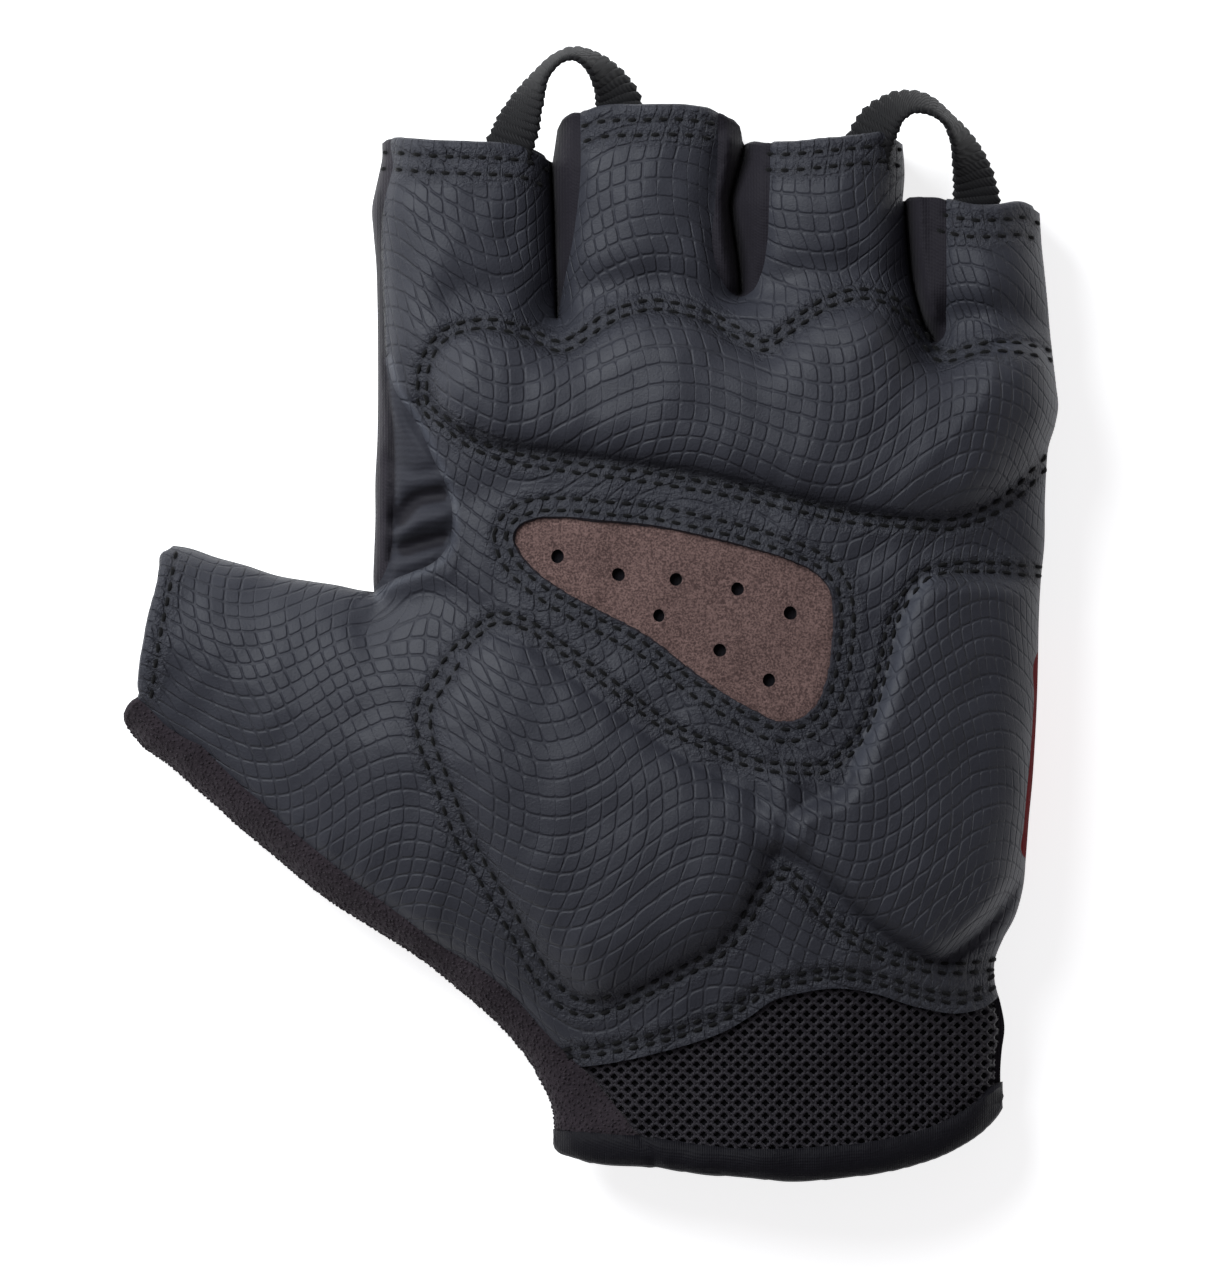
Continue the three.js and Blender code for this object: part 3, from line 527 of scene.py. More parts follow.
def edges_of(faces):
    return np.vstack([faces[:, [0, 1]], faces[:, [1, 2]], faces[:, [2, 0]]]).astype(np.int64)


def border_of(faces, count):
    """The edges that only one face has."""
    pairs = edges_of(faces)
    back = pairs[:, 1] * count + pairs[:, 0]
    return pairs[~np.isin(pairs[:, 0] * count + pairs[:, 1], back)]


class Plan:
    """The glove seen from above: its silhouette, its panels and its heights."""

    def __init__(self, form):
        self.form = form
        self.runs = []
        loop, self.sides, self.rims = [], [], []
        for name, kind, before, after in SILHOUETTE:
            points = line(name)
            if kind == "slot":
                down = shifted(points, -SLOT_HALF_WIDTH)
                up = shifted(points, SLOT_HALF_WIDTH)[::-1]
                loop += [down, up]
                self.rims += [down, up]
                self.sides += [np.vstack([before, down]), np.vstack([up, before])]
                continue
            loop.append(points)
            if kind == "side":
                self.rims.append(points)
                parts = [part for part in (before, points, after) if part is not None]
                self.sides.append(np.vstack(parts))
        joined = np.vstack(loop)
        keep = np.linalg.norm(np.diff(joined, axis=0, append=joined[:1]), axis=1) > 0.02
        self.outline = joined[keep]

    def edge(self, spots):
        """Distance from the nearest side, and the point on it. Hems don't count."""
        best = np.full(len(spots), FAR)
        foot = np.array(spots)
        for side in self.sides:
            gap, _, at = nearest(spots, side, 60)
            closer = gap < best
            best[closer], foot[closer] = gap[closer], at[closer]
        return best, foot

    def crown(self, spots):
        """Height along the middle of the palm and the fingers, before any padding."""
        x, y = spots.T
        return (
            self.form.palm_height
            - 3.2 * smooth(26, 62, y)
            - 1.8 * smooth(44, 52, x) * smooth(24, 44, y)
            - 5.5 * smooth(-38, -74, y)
            - 5.0 * smooth(-22, -64, x) * smooth(40, 20, y)
            - 2.0 * smooth(36, 66, x) * smooth(14, -4, y)
        )

    def level(self, spots, edge):
        """How far up its rounded side each spot is, from 0 to 1."""
        x, y = spots.T
        radius = 13 + 37 * smooth(44, 8, y) * smooth(-92, -12, x)
        inward = np.clip(1 - edge / radius, 0, 1)
        return (1 - inward**ROUNDNESS) ** (1 / ROUNDNESS)

    def swell(self, spots):
        """How far the padding lifts the leather."""
        total = np.zeros(len(spots))
        for name, height, slope, rounding in PADS:
            outline = line(name)
            inside = within(spots, outline)
            gap, along, _ = nearest(spots, ringed(outline), 14)
            rise = 1 - (1 - np.clip(np.where(inside, gap, 0) / slope, 0, 1)) ** rounding
            pucker = 0.16 * np.sin(along * 1.1 + 1.3 * np.sin(along * 0.37))
            total += height * self.form.pad_fill * rise**0.62
            total += np.where(inside, pucker * np.exp(-gap / 3.0) * rise**0.5, 0)
        return total

    def by_threads(self, spots):
        """For each run of stitches, the gap to it and how hard its thread pulls there."""
        for _, row, step in self.threads():
            gap, along, _ = nearest(spots, row, SEWN_REACH)
            yield gap, smooth(-0.5, 0.6, np.cos(2 * np.pi * along / step))

    def relief(self, spots):
        """Pads, sewn channels, creases and soft waves on the palm side."""
        total = 0.16 * waves(spots, 13, 3) + 0.05 * waves(spots, 5, 4) + self.swell(spots)
        for gap, pull in self.by_threads(spots):
            total -= (0.12 + 0.2 * pull) * bell(gap, THREAD_WIDTH)
            total -= 0.2 * bell(gap, HOLLOW_WIDTH)
        for points, depth, width in CREASES:
            total -= depth * bell(nearest(spots, curve(points, 1.0), 4 * width)[0], width)
        for name in NARROW_SEAMS:
            total -= 0.55 * bell(nearest(spots, line(name), 3)[0], 0.75)
        inner, _, _ = nearest(spots, line("binding_edge"), 8)
        outer, _, _ = nearest(spots, line("cuff_hem"), 8)
        across = (inner - outer) / (inner + outer)
        low = spots[:, 1] < np.interp(spots[:, 0], *line("binding_edge").T)
        return total + np.where(low, 0.9 * np.sqrt(np.clip(1 - across**2, 0, 1)) - 0.3, 0)

    def sewn_and_painted_light(self, spots):
        """Below 0: painted highlight. Up to 0.5: drawn in by stitches. Above 0.5: painted shade."""
        found = np.zeros(len(spots))
        # Painted shade in folds and channels.
        for points, width, dark in PAINTED_SHADE_FOLDS:
            gap, _, _ = nearest(spots, curve(points, 1.0), 4 * width)
            found = np.maximum(found, dark * np.where(gap < 4 * width, bell(gap, width, 4), 0))
        # Along each stitch row: the leather drawn in, and painted shade right at the row.
        for gap, pull in self.by_threads(spots):
            dark = (0.35 + 0.4 * pull) * bell(gap, 0.45)
            found = np.maximum(found, 0.5 * bell(gap, 1.7, 4) + 0.5 * dark)
        # Painted highlights along cut edges and ridges.
        for points, width, bright in PAINTED_HIGHLIGHT_LINES:
            gap, _, _ = nearest(spots, curve(points, 0.5), 4 * width)
            found = np.where(gap < 1.6 * width, -bright * bell(gap, width), found)
        return found

    def threads(self):
        """Each run of stitches: the line it follows, its points and its pitch."""
        if self.runs:
            return self.runs
        for name, offset, first, last in STITCH_ROWS:
            full = shifted(line(name), offset) if offset else line(name)
            count = len(full)
            row = evenly(full[int(first * count):max(int(last * count), 3)], 0.4)
            inside = within(row, self.outline) & (self.edge(row)[0] > 0.5)
            for run in np.split(np.arange(len(row)), np.nonzero(~inside)[0]):
                run = row[run[inside[run]]]
                if len(run) < SHORTEST_RUN:
                    continue
                length = np.hypot(*np.diff(run, axis=0).T).sum()
                step = length / round(length / (self.form.stitch_pitch / MM))
                self.runs.append((name, evenly(run, step / STITCH_PARTS), step))
        return self.runs

    def top(self, spots, edge=None):
        """Height of the palm side over each spot."""
        level = self.level(spots, self.edge(spots)[0] if edge is None else edge)
        crown = self.crown(spots)
        seam = SEAM_SHARE * crown
        raised = self.relief(spots) * smooth(0.0, 0.62, level)
        return seam + (crown - seam) * level + raised

    def under(self, spots, edge):
        """Height of the back of the hand, which is pressed flat where it rests."""
        level = self.level(spots, edge)
        seam = SEAM_SHARE * self.crown(spots)
        low = seam - (seam + PRESSED_FLAT) * level
        ripple = 0.1 * (1 + waves(spots, 16, 8)) * smooth(0.3, 1, level)
        return np.maximum(low, 0) + ripple * np.where(low < 0, 0.6, 1)

    def surface(self, spots):
        """Points of the palm side and the unit normals at them."""
        step = 0.25
        rise_x, rise_y = (
            (self.top(spots + way) - self.top(spots - way)) / (2 * step)
            for way in ((step, 0), (0, step)))
        normal = np.column_stack([-rise_x, -rise_y, np.ones(len(spots))])
        return np.column_stack([spots, self.top(spots)]), unit(normal, 0)

    def meet(self, seams):
        """Adds to the silhouette the points where seams cross it."""
        start, run = self.outline, np.roll(self.outline, -1, axis=0) - self.outline
        extra = []
        for name in seams:
            points = line(name)[:, :2]
            other = np.diff(points, axis=0)
            away = points[:-1][None] - start[:, None]
            turn = run[:, None, 0] * other[None, :, 1] - run[:, None, 1] * other[None, :, 0]
            turn = np.where(np.abs(turn) < 1e-12, 1e-12, turn)
            here = (away[..., 0] * other[None, :, 1] - away[..., 1] * other[None, :, 0]) / turn
            there = (away[..., 0] * run[:, None, 1] - away[..., 1] * run[:, None, 0]) / turn
            hits = (here > 1e-6) & (here < 1 - 1e-6) & (there >= 0) & (there <= 1)
            for number, _ in np.argwhere(hits):
                share = here[number][hits[number]][0]
                extra.append((number + share, *(start[number] + share * run[number])))
        order = np.r_[np.arange(len(start)), [e[0] for e in extra]]
        joined = np.vstack([start, [e[1:] for e in extra]])
        self.outline = joined[np.argsort(order)]

    def mesh(self, grid, lines):
        """Triangles over the silhouette that keep to the lines, finer towards its sides."""
        rings = []
        for rim in self.rims:
            rim = evenly(rim, 0.8)
            for inward in RING_DEPTHS:
                ring = shifted(rim, -inward)
                rings.append(ring[self.edge(ring)[0] > 0.93 * inward])
        rings = np.vstack(rings)
        spots = grid_over(self.outline, grid)
        spots = spots[self.edge(spots)[0] > 2.2]
        clear = np.ones(len(spots), bool)
        for points in lines + [self.outline]:
            clear &= nearest(spots, points, grid)[0] > 0.45 * grid
        spots = np.vstack([rings[within(rings, self.outline)], spots[clear]])
        return triangles_over([self.outline], lines, spots, 1e-4)


# ---- Panels ----

def zoned(corners, faces, zones, rest):
    """Names the zone of each face by its middle."""
    middles = corners[faces].mean(axis=1)
    names = np.full(len(faces), rest, dtype=object)
    for name, lines, closing in reversed(zones):
        parts = [line(n[1:])[::-1] if n[0] == "-" else line(n) for n in lines]
        outline = np.vstack([*parts, np.array(closing, float).reshape(-1, 2)])
        names[within(middles, outline)] = name
    return names


class Shell:
    """The outside of the whole glove, palm side and back, joined along the silhouette."""

    def __init__(self, form):
        self.plan = plan = Plan(form)
        plan.meet((*SEAMS, *BACK_SEAMS))
        rows = [row for _, row, _ in plan.threads()]
        lines = [line(name) for name in SEAMS] + rows + [curve(GUSSET_LIP, 0.9)]
        palm, palm_faces = plan.mesh(form.grid, lines)
        lines = [line(name) for name in ("binding_edge", *BACK_SEAMS)]
        back, back_faces = plan.mesh(form.grid * BACK_GRID, lines)
        palm_zone = zoned(palm, palm_faces, PALM_ZONES, "leather")
        outer_pad = zoned(palm, palm_faces, OUTER_PAD, "") == "hypothenar"
        palm_zone[(palm_zone == "thenar") & outer_pad] = "hypothenar"
        self.zone = np.r_[palm_zone, zoned(back, back_faces, BACK_ZONES, "back")]

        spots = np.vstack([palm, back])
        edge, foot = (np.concatenate(two) for two in zip(plan.edge(palm), plan.edge(back)))
        palm_edge, back_edge = edge[:len(palm)], edge[len(palm):]
        heights = np.r_[plan.top(palm, palm_edge), plan.under(back, back_edge)]
        self.points = np.column_stack([spots, heights])
        same = self.twins(palm, palm_edge, back, back_edge)
        self.faces = same[np.vstack([palm_faces, back_faces[:, ::-1] + len(palm)])]
        self.close_slots()
        a, b, c = (self.points[self.faces[:, i]] for i in range(3))
        across = np.cross(b - a, c - a)
        normal = np.zeros_like(self.points)
        for i in range(3):
            np.add.at(normal, self.faces[:, i], across)
        self.normal = unit(normal)

        fall = np.maximum(plan.crown(spots) - self.points[:, 2], 0)
        outward = unit(foot - spots, 1e-6) * smooth(30, 2, edge)[:, None]
        self.flat = spots + self.evened(outward) * (SIDE_SPREAD * fall)[:, None]
        hems = [line(name) for name, kind, *_ in SILHOUETTE if kind == "hem"]
        self.hem_gap = np.min([nearest(spots, hem, 12)[0] for hem in hems], axis=0)
        self.at_hem = (self.hem_gap < ON_EDGE) & (edge > 0.02)
        hidden = np.zeros(len(back))
        self.swell = np.r_[plan.swell(palm), hidden] * np.clip(self.normal[:, 2], 0, 1)
        self.sewn_and_painted_light = np.r_[plan.sewn_and_painted_light(palm), hidden]

    @staticmethod
    def twins(palm, palm_edge, back, back_edge):
        """The number of each point, where points of the back on the silhouette take the palm's."""
        rim = np.nonzero(palm_edge < ON_EDGE)[0]
        tree = KDTree(len(rim))
        for number in rim:
            tree.insert((*palm[number], 0), int(number))
        tree.balance()
        same = np.arange(len(palm) + len(back))
        for number in np.nonzero(back_edge < ON_EDGE)[0]:
            _, twin, gap = tree.find((*back[number], 0))
            if gap < SAME_POINT:
                same[len(palm) + number] = twin
        return same

    def close_slots(self):
        """Moves each side of a slot a little past its middle line, so that the two overlap."""
        for name, kind, *_ in SILHOUETTE:
            if kind == "slot":
                gap, _, middle = nearest(self.points[:, :2], line(name), 1)
                touching = gap < 1.5 * SLOT_HALF_WIDTH
                mirrored = (1 + SLOT_OVERLAP) * middle - SLOT_OVERLAP * self.points[:, :2]
                self.points[touching, :2] = mirrored[touching]

    def evened(self, spread, rounds=70):
        """Evens out vectors over the mesh, each with its neighbours."""
        ends = edges_of(self.faces)
        here, there = ends.ravel(), ends[:, ::-1].ravel()
        share = np.bincount(here, minlength=len(spread))[:, None] + 1e-9
        for _ in range(rounds):
            near = np.column_stack([
                np.bincount(here, spread[there, axis], len(spread)) for axis in range(2)])
            spread = 0.4 * spread + 0.6 * near / share
        return spread

    def piece(self, zones, wall, hem=0.0, padding=0.0, sunk=0.0):
        """One panel as a closed thin solid: outside, inside and the edge between them."""
        kept, faces = np.unique(self.faces[np.isin(self.zone, zones)], return_inverse=True)
        faces = faces.reshape(-1, 3)
        normal = self.normal[kept]
        outside = self.points[kept] - normal * sunk
        depth = wall + hem * bell(self.hem_gap[kept], HEM_WIDTH, 4)
        depth = (depth + padding * self.swell[kept])[:, None]
        inside = outside - normal * depth
        inside[:, 2] = np.where(outside[:, 2] > 0.4, np.maximum(inside[:, 2], 0.02), inside[:, 2])
        low = normal[:, 2] < -0.2
        inside[low, 2] = np.maximum(inside[low, 2], outside[low, 2] + wall * 0.4)

        border = border_of(faces, len(kept))
        way = outside[border[:, 1]] - outside[border[:, 0]]
        beyond = np.zeros_like(outside)
        for i in range(2):
            np.add.at(beyond, border[:, i], np.cross(way, normal[border[:, i]]))
        beyond = unit(beyond, 1e-9)
        proud = np.where(self.at_hem[kept], 0.5, 0.0)[:, None]
        layers = [outside, inside]
        for turn in (0.25, 0.5, 0.75):
            across = math.cos(math.pi * turn) * normal * (depth / 2)
            out = math.sin(math.pi * turn) * beyond * (depth * proud)
            layers.append((outside + inside) / 2 + across + out)
        stack = np.vstack(layers)
        count = len(kept)
        a, b = border.T
        order = (0, 2, 3, 4, 1)
        rims = np.vstack([
            np.column_stack([b + upper * count, a + upper * count, a + lower * count,
                             b + lower * count])
            for upper, lower in zip(order, order[1:])])
        used = np.arange(len(stack)) < 2 * count
        used[rims.ravel()] = True
        renumber = np.cumsum(used) - 1
        triangles = np.vstack([faces, faces[:, ::-1] + count])
        flat = np.vstack([self.flat[kept]] * len(layers))[used]
        sewn_and_painted_light = np.concatenate([self.sewn_and_painted_light[kept]] * len(layers))[used]
        sharp = np.vstack([renumber[border], renumber[border + count]])
        return stack[used], renumber[triangles], renumber[rims], flat, sewn_and_painted_light, sharp


SHELL = {}


def shell():
    """The glove's shell, made once and shared by the panels."""
    if not SHELL:
        SHELL["all"] = Shell(bpy.context.scene.glove_form)
    return SHELL["all"]


# ---- Objects ----

def linked(name, data):
    """A new object in the scene."""
    made = bpy.data.objects.new(name, data)
    bpy.context.scene.collection.objects.link(made)
    return made


def fill_in(items, key, values, kind=np.float32):
    items.foreach_set(key, np.asarray(values).ravel().astype(kind))


def mesh_of(name, points):
    """A new mesh with points given in millimetres."""
    mesh = bpy.data.meshes.new(name)
    mesh.vertices.add(len(points))
    fill_in(mesh.vertices, "co", np.asarray(points) * MM)
    return mesh


def mark(mesh, name, values, kind="FLOAT", domain="POINT"):
    attribute = mesh.attributes.new(name, kind, domain)
    fill_in(attribute.data, "vector" if kind == "FLOAT_VECTOR" else "value", values,
            bool if kind == "BOOLEAN" else np.float32)


def new_object(name, points, polygons, flat=None, sewn_and_painted_light=None, sharp=None):
    """A mesh object at the origin, from points in millimetres."""
    mesh = mesh_of(name, points)
    sizes = np.concatenate([np.full(len(p), p.shape[1]) for p in polygons])
    corners = np.concatenate([p.ravel() for p in polygons])
    mesh.loops.add(len(corners))
    fill_in(mesh.loops, "vertex_index", corners, np.int32)
    mesh.polygons.add(len(sizes))
    fill_in(mesh.polygons, "loop_start", np.cumsum(sizes) - sizes, np.int32)
    mesh.update(calc_edges=True)
    fill_in(mesh.polygons, "use_smooth", np.full(len(sizes), True), bool)
    if flat is not None:
        fill_in(mesh.uv_layers.new(name="Flat").uv, "vector", flat[corners] * FLAT_SCALE)
    if sewn_and_painted_light is not None:
        mark(mesh, "sewn_and_painted_light", sewn_and_painted_light)
    if sharp is not None:
        ends = np.empty(len(mesh.edges) * 2, np.int32)
        mesh.edges.foreach_get("vertices", ends)
        keys = [pairs.min(axis=1) * len(points) + pairs.max(axis=1)
                for pairs in (ends.reshape(-1, 2).astype(np.int64), sharp)]
        mark(mesh, "sharp_edge", np.isin(*keys), "BOOLEAN", "EDGE")
    return linked(name, mesh)


def path_object(name, paths, ups):
    """Polylines, in millimetres, that carry the direction out of what they lie on."""
    mesh = mesh_of(name, np.vstack(paths))
    edges, count = [], 0
    for path in paths:
        edges += links(count, len(path))
        count += len(path)
    mesh.edges.add(len(edges))
    fill_in(mesh.edges, "vertices", edges, np.int32)
    mark(mesh, "up", np.vstack(ups), "FLOAT_VECTOR")
    return linked(name, mesh)


def panel_object(name, zones, wall, **how):
    points, triangles, rims, *rest = shell().piece(zones, wall, **how)
    return new_object(name, points, [triangles, rims], *rest)


def laid_behind(name, outline, holes, grid, sunk, wall):
    """A thin closed panel at a depth below the palm side, with round holes in it."""
    rings = [outline, *holes]
    spots = grid_over(outline, grid)
    keep = np.ones(len(spots), bool)
    for ring in rings:
        keep &= nearest(spots, ringed(ring), grid)[0] > grid * 0.5
    for ring in holes:
        keep &= ~within(spots, ring)
    corners, faces = triangles_over(rings, [], spots[keep], 1e-5)
    surface, up = shell().plan.surface(corners)
    outside = surface - up * sunk
    count = len(corners)
    border = border_of(faces, count)
    a, b = border.T
    return new_object(
        name, np.vstack([outside, outside - up * wall]),
        [np.vstack([faces, faces[:, ::-1] + count]), np.column_stack([b, a, a + count, b + count])],
        np.vstack([corners, corners]), None, np.vstack([border, border + count]))


def place(piece, finish, slot, nodes=(), cut=None, with_pieces=(), fill=None, held="stretched"):
    """Gives a piece its finish and its body, and hides the CAD nodes that it stands for."""
    if finish:
        piece.data.materials.clear()
        piece.data.materials.append(finish)
    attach(piece, "root")
    if nodes:
        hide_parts(*nodes)
    if cut:
        area = sum(p.area for p in piece.data.polygons) / 2
        width, length = cut
        share = area / (width * length)
        if share > 1 or share < 0.35:
            grow = math.sqrt(max(share, 1e-6) / 0.8)
            width, length = max(width * grow, 0.01), max(length * grow, 0.01)
        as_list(with_pieces)
    return piece


# ---- Node trees ----

class Value:
    """An output of a node, so that sums can be written as plain expressions."""

    def __init__(self, builder, node, output=0):
        self.builder, self.node, self.socket = builder, node, node.outputs[output]

    def out(self, output):
        """Another output of the same node."""
        return Value(self.builder, self.node, output)

    def math(self, operation, *others):
        return self.builder.node(
            "ShaderNodeMath", dict(enumerate((self, *others))), operation=operation)

    def __neg__(self):
        return self * -1

    def __rsub__(self, other):
        return -self + other

    def step(self, first, last):
        """Rises smoothly from 0 at first to 1 at last."""
        return self.builder.node("ShaderNodeMapRange", {
            "Value": self, "From Min": first, "From Max": last, "To Min": 0.0, "To Max": 1.0,
        }, interpolation_type="SMOOTHSTEP")

    def wave(self, pitch, shift=0.0):
        """Swings between 0 and 1, once in each pitch."""
        turn = self * (2 * math.pi / pitch)
        return (turn + shift if shift else turn).sin() * 0.5 + 0.5


def value_method(operation):
    return lambda self, *others: self.math(operation, *others)


for name, operation in {
    "__add__": "ADD", "__radd__": "ADD", "__mul__": "MULTIPLY", "__rmul__": "MULTIPLY",
    "__sub__": "SUBTRACT", "__truediv__": "DIVIDE", "__pow__": "POWER", "__abs__": "ABSOLUTE",
    "sin": "SINE", "cos": "COSINE", "fraction": "FRACT", "whole": "FLOOR", "sign": "SIGN",
    "least": "MINIMUM", "most": "MAXIMUM", "modulo": "FLOORED_MODULO",
    "multiply_add": "MULTIPLY_ADD",
}.items():
    setattr(Value, name, value_method(operation))


class Builder:
    """Makes the nodes of one tree and links them."""

    def __init__(self, tree):
        self.tree = tree

    def node(self, kind, sockets=None, **settings):
        made = self.tree.nodes.new(kind)
        for name, value in settings.items():
            setattr(made, name, value)
        for name, value in (sockets or {}).items():
            if isinstance(value, Value):
                self.tree.links.new(value.socket, made.inputs[name])
            elif made.inputs[name].type == "RGBA":
                made.inputs[name].default_value = (*value, 1)
            else:
                made.inputs[name].default_value = value
        return Value(self, made) if made.outputs else None

    def axes(self, vector):
        split = self.node("ShaderNodeSeparateXYZ", {"Vector": vector})
        return split, split.out(1), split.out(2)

    def xyz(self, x=0.0, y=0.0, z=0.0):
        return self.node("ShaderNodeCombineXYZ", {"X": x, "Y": y, "Z": z})

    def vector(self, operation, first, second):
        second_socket = "Scale" if operation == "SCALE" else 1
        return self.node(
            "ShaderNodeVectorMath", {0: first, second_socket: second}, operation=operation)


# ---- Materials ----

class Finish(Builder):
    """A material made of nodes, with places in millimetres."""

    def __init__(self, name):
        self.material = bpy.data.materials.new(name)
        self.material.use_nodes = True
        super().__init__(self.material.node_tree)
        self.tree.nodes.clear()
        place = self.node("ShaderNodeTexCoord").out("Object")
        self.spot = self.vector("SCALE", place, 1 / MM)

    def flat(self):
        """The panel's own flat coordinates."""
        u, v, _ = self.axes(self.node("ShaderNodeUVMap", uv_map="Flat"))
        return u * (1 / FLAT_SCALE), v * (1 / FLAT_SCALE)

    def sewn_and_painted_light(self):
        """The points' own mark: painted highlights, stitch-drawn leather and painted shade."""
        return self.node("ShaderNodeAttribute", attribute_name="sewn_and_painted_light").out("Fac")

    def noise(self, scale, detail=2.0, rough=0.5, at=None):
        return self.node("ShaderNodeTexNoise", {
            "Vector": at or self.spot, "Scale": scale, "Detail": detail, "Roughness": rough,
        }, noise_dimensions="3D")

    def mix(self, share, first, second):
        return self.node(
            "ShaderNodeMix", {0: share, 6: first, 7: second}, data_type="RGBA").out(2)

    def bump(self, height, distance=1.0, before=None):
        below = {"Normal": before} if before else {}
        return self.node("ShaderNodeBump", {
            "Height": height, "Distance": distance * MM, "Strength": 1.0, **below})

    def done(self, colour, roughness, normal=None, gloss=0.5, sheen=0.0, glow=0.0):
        bumped = {"Normal": normal} if normal else {}
        shader = self.node("ShaderNodeBsdfPrincipled", {
            "Base Color": colour, "Roughness": roughness, "Specular IOR Level": gloss,
            "Sheen Weight": sheen, "Sheen Roughness": 0.45,
            "Emission Color": (1, 1, 1), "Emission Strength": glow, **bumped,
        })
        self.node("ShaderNodeOutputMaterial", {"Surface": shader})
        return self.material


def leather_finish(look):
    """Dark leather embossed with wavy rows of small rounded cells."""
    f = Finish("embossed_leather")
    u, v = f.flat()
    row_wave, column_wave = 2 * math.pi / 45, 2 * math.pi / 62
    calm = v.step(16.0, 30.0) * u.step(-14.0, 2.0) * (1.0 - u.step(30.0, 44.0))
    swing = ((u + v * 0.085 + 7.7) * row_wave).cos() * (5.1 - calm * 2.1)
    sway = ((v - 33.0) * column_wave).cos() * -3.95
    stray = f.noise(0.16, 1.0, at=f.xyz(u, v)) - 0.5
    rows = (v + swing - u * 0.04 + stray * 0.8) / look.grain_height
    squeeze = (u - 30.0).most(0.0)
    columns = (u + sway - stray * 0.8) / look.grain_width + squeeze * squeeze * 0.0022
    # A cell is a square with rounded corners, whose columns fade in places.
    x = abs(columns.fraction() * 2.0 - 1.0)
    y = abs(rows.fraction() * 2.0 - 1.0)
    faint = f.noise(0.09).step(0.38, 0.58) * 0.65 + 0.35
    groove = ((x ** 5.0 * faint + y ** 5.0) ** 0.2).step(0.74, 1.0)
    height = 1.0 - groove - (x * x * faint + y * y) * 0.06
    fine = f.noise(2.6, 3.0, 0.7)
    broad = f.noise(0.07)
    shade = f.noise(1.0, 0.0, at=f.xyz(columns.whole() * 3.7, rows.whole() * 5.3))
    crumple = f.noise(1.3, 3.0, 0.6)
    sewn_and_painted_light = f.sewn_and_painted_light()
    drawn = sewn_and_painted_light.most(0.0).least(0.5) * 2.0
    colour = f.mix(broad * 0.5 + shade * 0.5, look.leather_low, look.leather_high)
    # The grooves darkened as painted shade in them; the fine specks are the leather's own mottling.
    colour = f.mix(groove * 0.12 + fine.step(0.62, 0.3) * 0.16, colour, look.leather_line_and_painted_shade)
    # Painted highlight along cut edges and ridges.
    colour = f.mix((-sewn_and_painted_light).most(0.0) * 0.6, colour, look.leather_painted_highlight)
    # Painted shade in the hollows of the puckers beside the stitches.
    colour = f.mix((0.45 - crumple).most(0.0) * drawn * 2.2, colour, look.leather_line_and_painted_shade)
    # Painted shade in folds and right along the stitch rows.
    colour = f.mix(sewn_and_painted_light.step(0.52, 0.86) * 0.9, colour, look.leather_line_and_painted_shade)
    normal = f.bump(height, look.grain_depth)
    normal = f.bump(fine * 0.09 + crumple * drawn * 0.5, before=normal)
    rough = 0.47 + fine * 0.12 + groove * 0.08 + broad * 0.06
    return f.done(colour, rough, normal, 0.42)


def suede_finish(look):
    """Brown suede with a fine speckled nap."""
    f = Finish("brown_suede")
    nap = f.noise(3.2, 4.0, 0.75)
    speck = f.noise(1.15, 2.0, 0.6)
    cloud = f.noise(0.12)
    share = (nap * 0.88 + speck * 0.18 + cloud * 0.05 - 0.045).step(0.4, 0.64)
    colour = f.mix(share, look.suede_low, look.suede_high)
    return f.done(colour, 0.95, f.bump(nap + speck * 0.6, 0.2), 0.2, 0.08)


def rib_finish(look):
    """Ribbed stretch cloth of the thumb gusset, in the leather's shade."""
    f = Finish("ribbed_gusset")
    _, y, _ = f.axes(f.spot)
    rib = (y + (f.noise(0.25) - 0.5) * 1.2).wave(0.9)
    fine = f.noise(2.4, 3.0, 0.65)
    colour = f.mix(rib * 0.2 + fine * 0.5 - 0.05, look.leather_low, look.leather_high)
    # Painted shade in the gusset's folds, over a little of the darker cloth tone everywhere.
    colour = f.mix(f.sewn_and_painted_light().step(0.25, 0.9) * 0.7 + 0.18, colour, look.cloth_low)
    return f.done(colour, 0.72, f.bump(rib * 0.03 + fine * 0.06), 0.3, 0.06)


def knit_finish(name, low, high, pitch=0.42, sheen=0.06, rough=0.72, gloss=0.3):
    """Smooth stretch knit with very fine wales, with shade painted into its folds."""
    f = Finish(name)
    x, y, z = f.axes(f.spot)
    wale = x.wave(pitch)
    course = (y + z).wave(pitch * 1.3, wale * 1.6)
    cloud = f.noise(0.2, 3.0)
    loop = wale * 0.6 + course * 0.4
    # Painted shade in folds, where the mark is above 0.5.
    shade_in_folds = f.sewn_and_painted_light().step(0.5, 0.95)
    colour = f.mix((loop * 0.5 + cloud * 0.5) * (1.0 - shade_in_folds * 0.9), low, high)
    normal = f.bump(f.noise(0.9), 0.12, f.bump(loop, 0.05))
    return f.done(colour, rough + cloud * 0.12, normal, gloss, sheen)


def pile_finish(look):
    """Brown-black towelling."""
    f = Finish("towelling")
    tuft = f.noise(1.5, 3.0, 0.7)
    cloud = f.noise(0.12)
    colour = f.mix((tuft * 0.7 + cloud * 0.3).step(0.3, 0.75), look.terry_low, look.terry_high)
    return f.done(colour, 0.95, f.bump(tuft, 0.3), 0.1, 0.08)


def yarn_finish(name, low, high, twist, rough=0.62, sheen=0.06):
    """Black yarn with a fine slanting twist."""
    f = Finish(name)
    x, y, z = f.axes(f.spot)
    turn = (x + y * 0.7 + z * 0.8).wave(twist)
    cloud = f.noise(0.5, 3.0)
    colour = f.mix(turn * 0.5 + cloud * 0.5, low, high)
    return f.done(colour, rough + cloud * 0.15, f.bump(turn, 0.05), 0.3, sheen)


def floor_finish():
    f = Finish("pale_floor")
    colour = f.mix(f.noise(0.02), (0.90, 0.90, 0.90), (0.92, 0.92, 0.92))
    return f.done(colour, 0.9, glow=0.78)


# ---- Geometry node trees ----

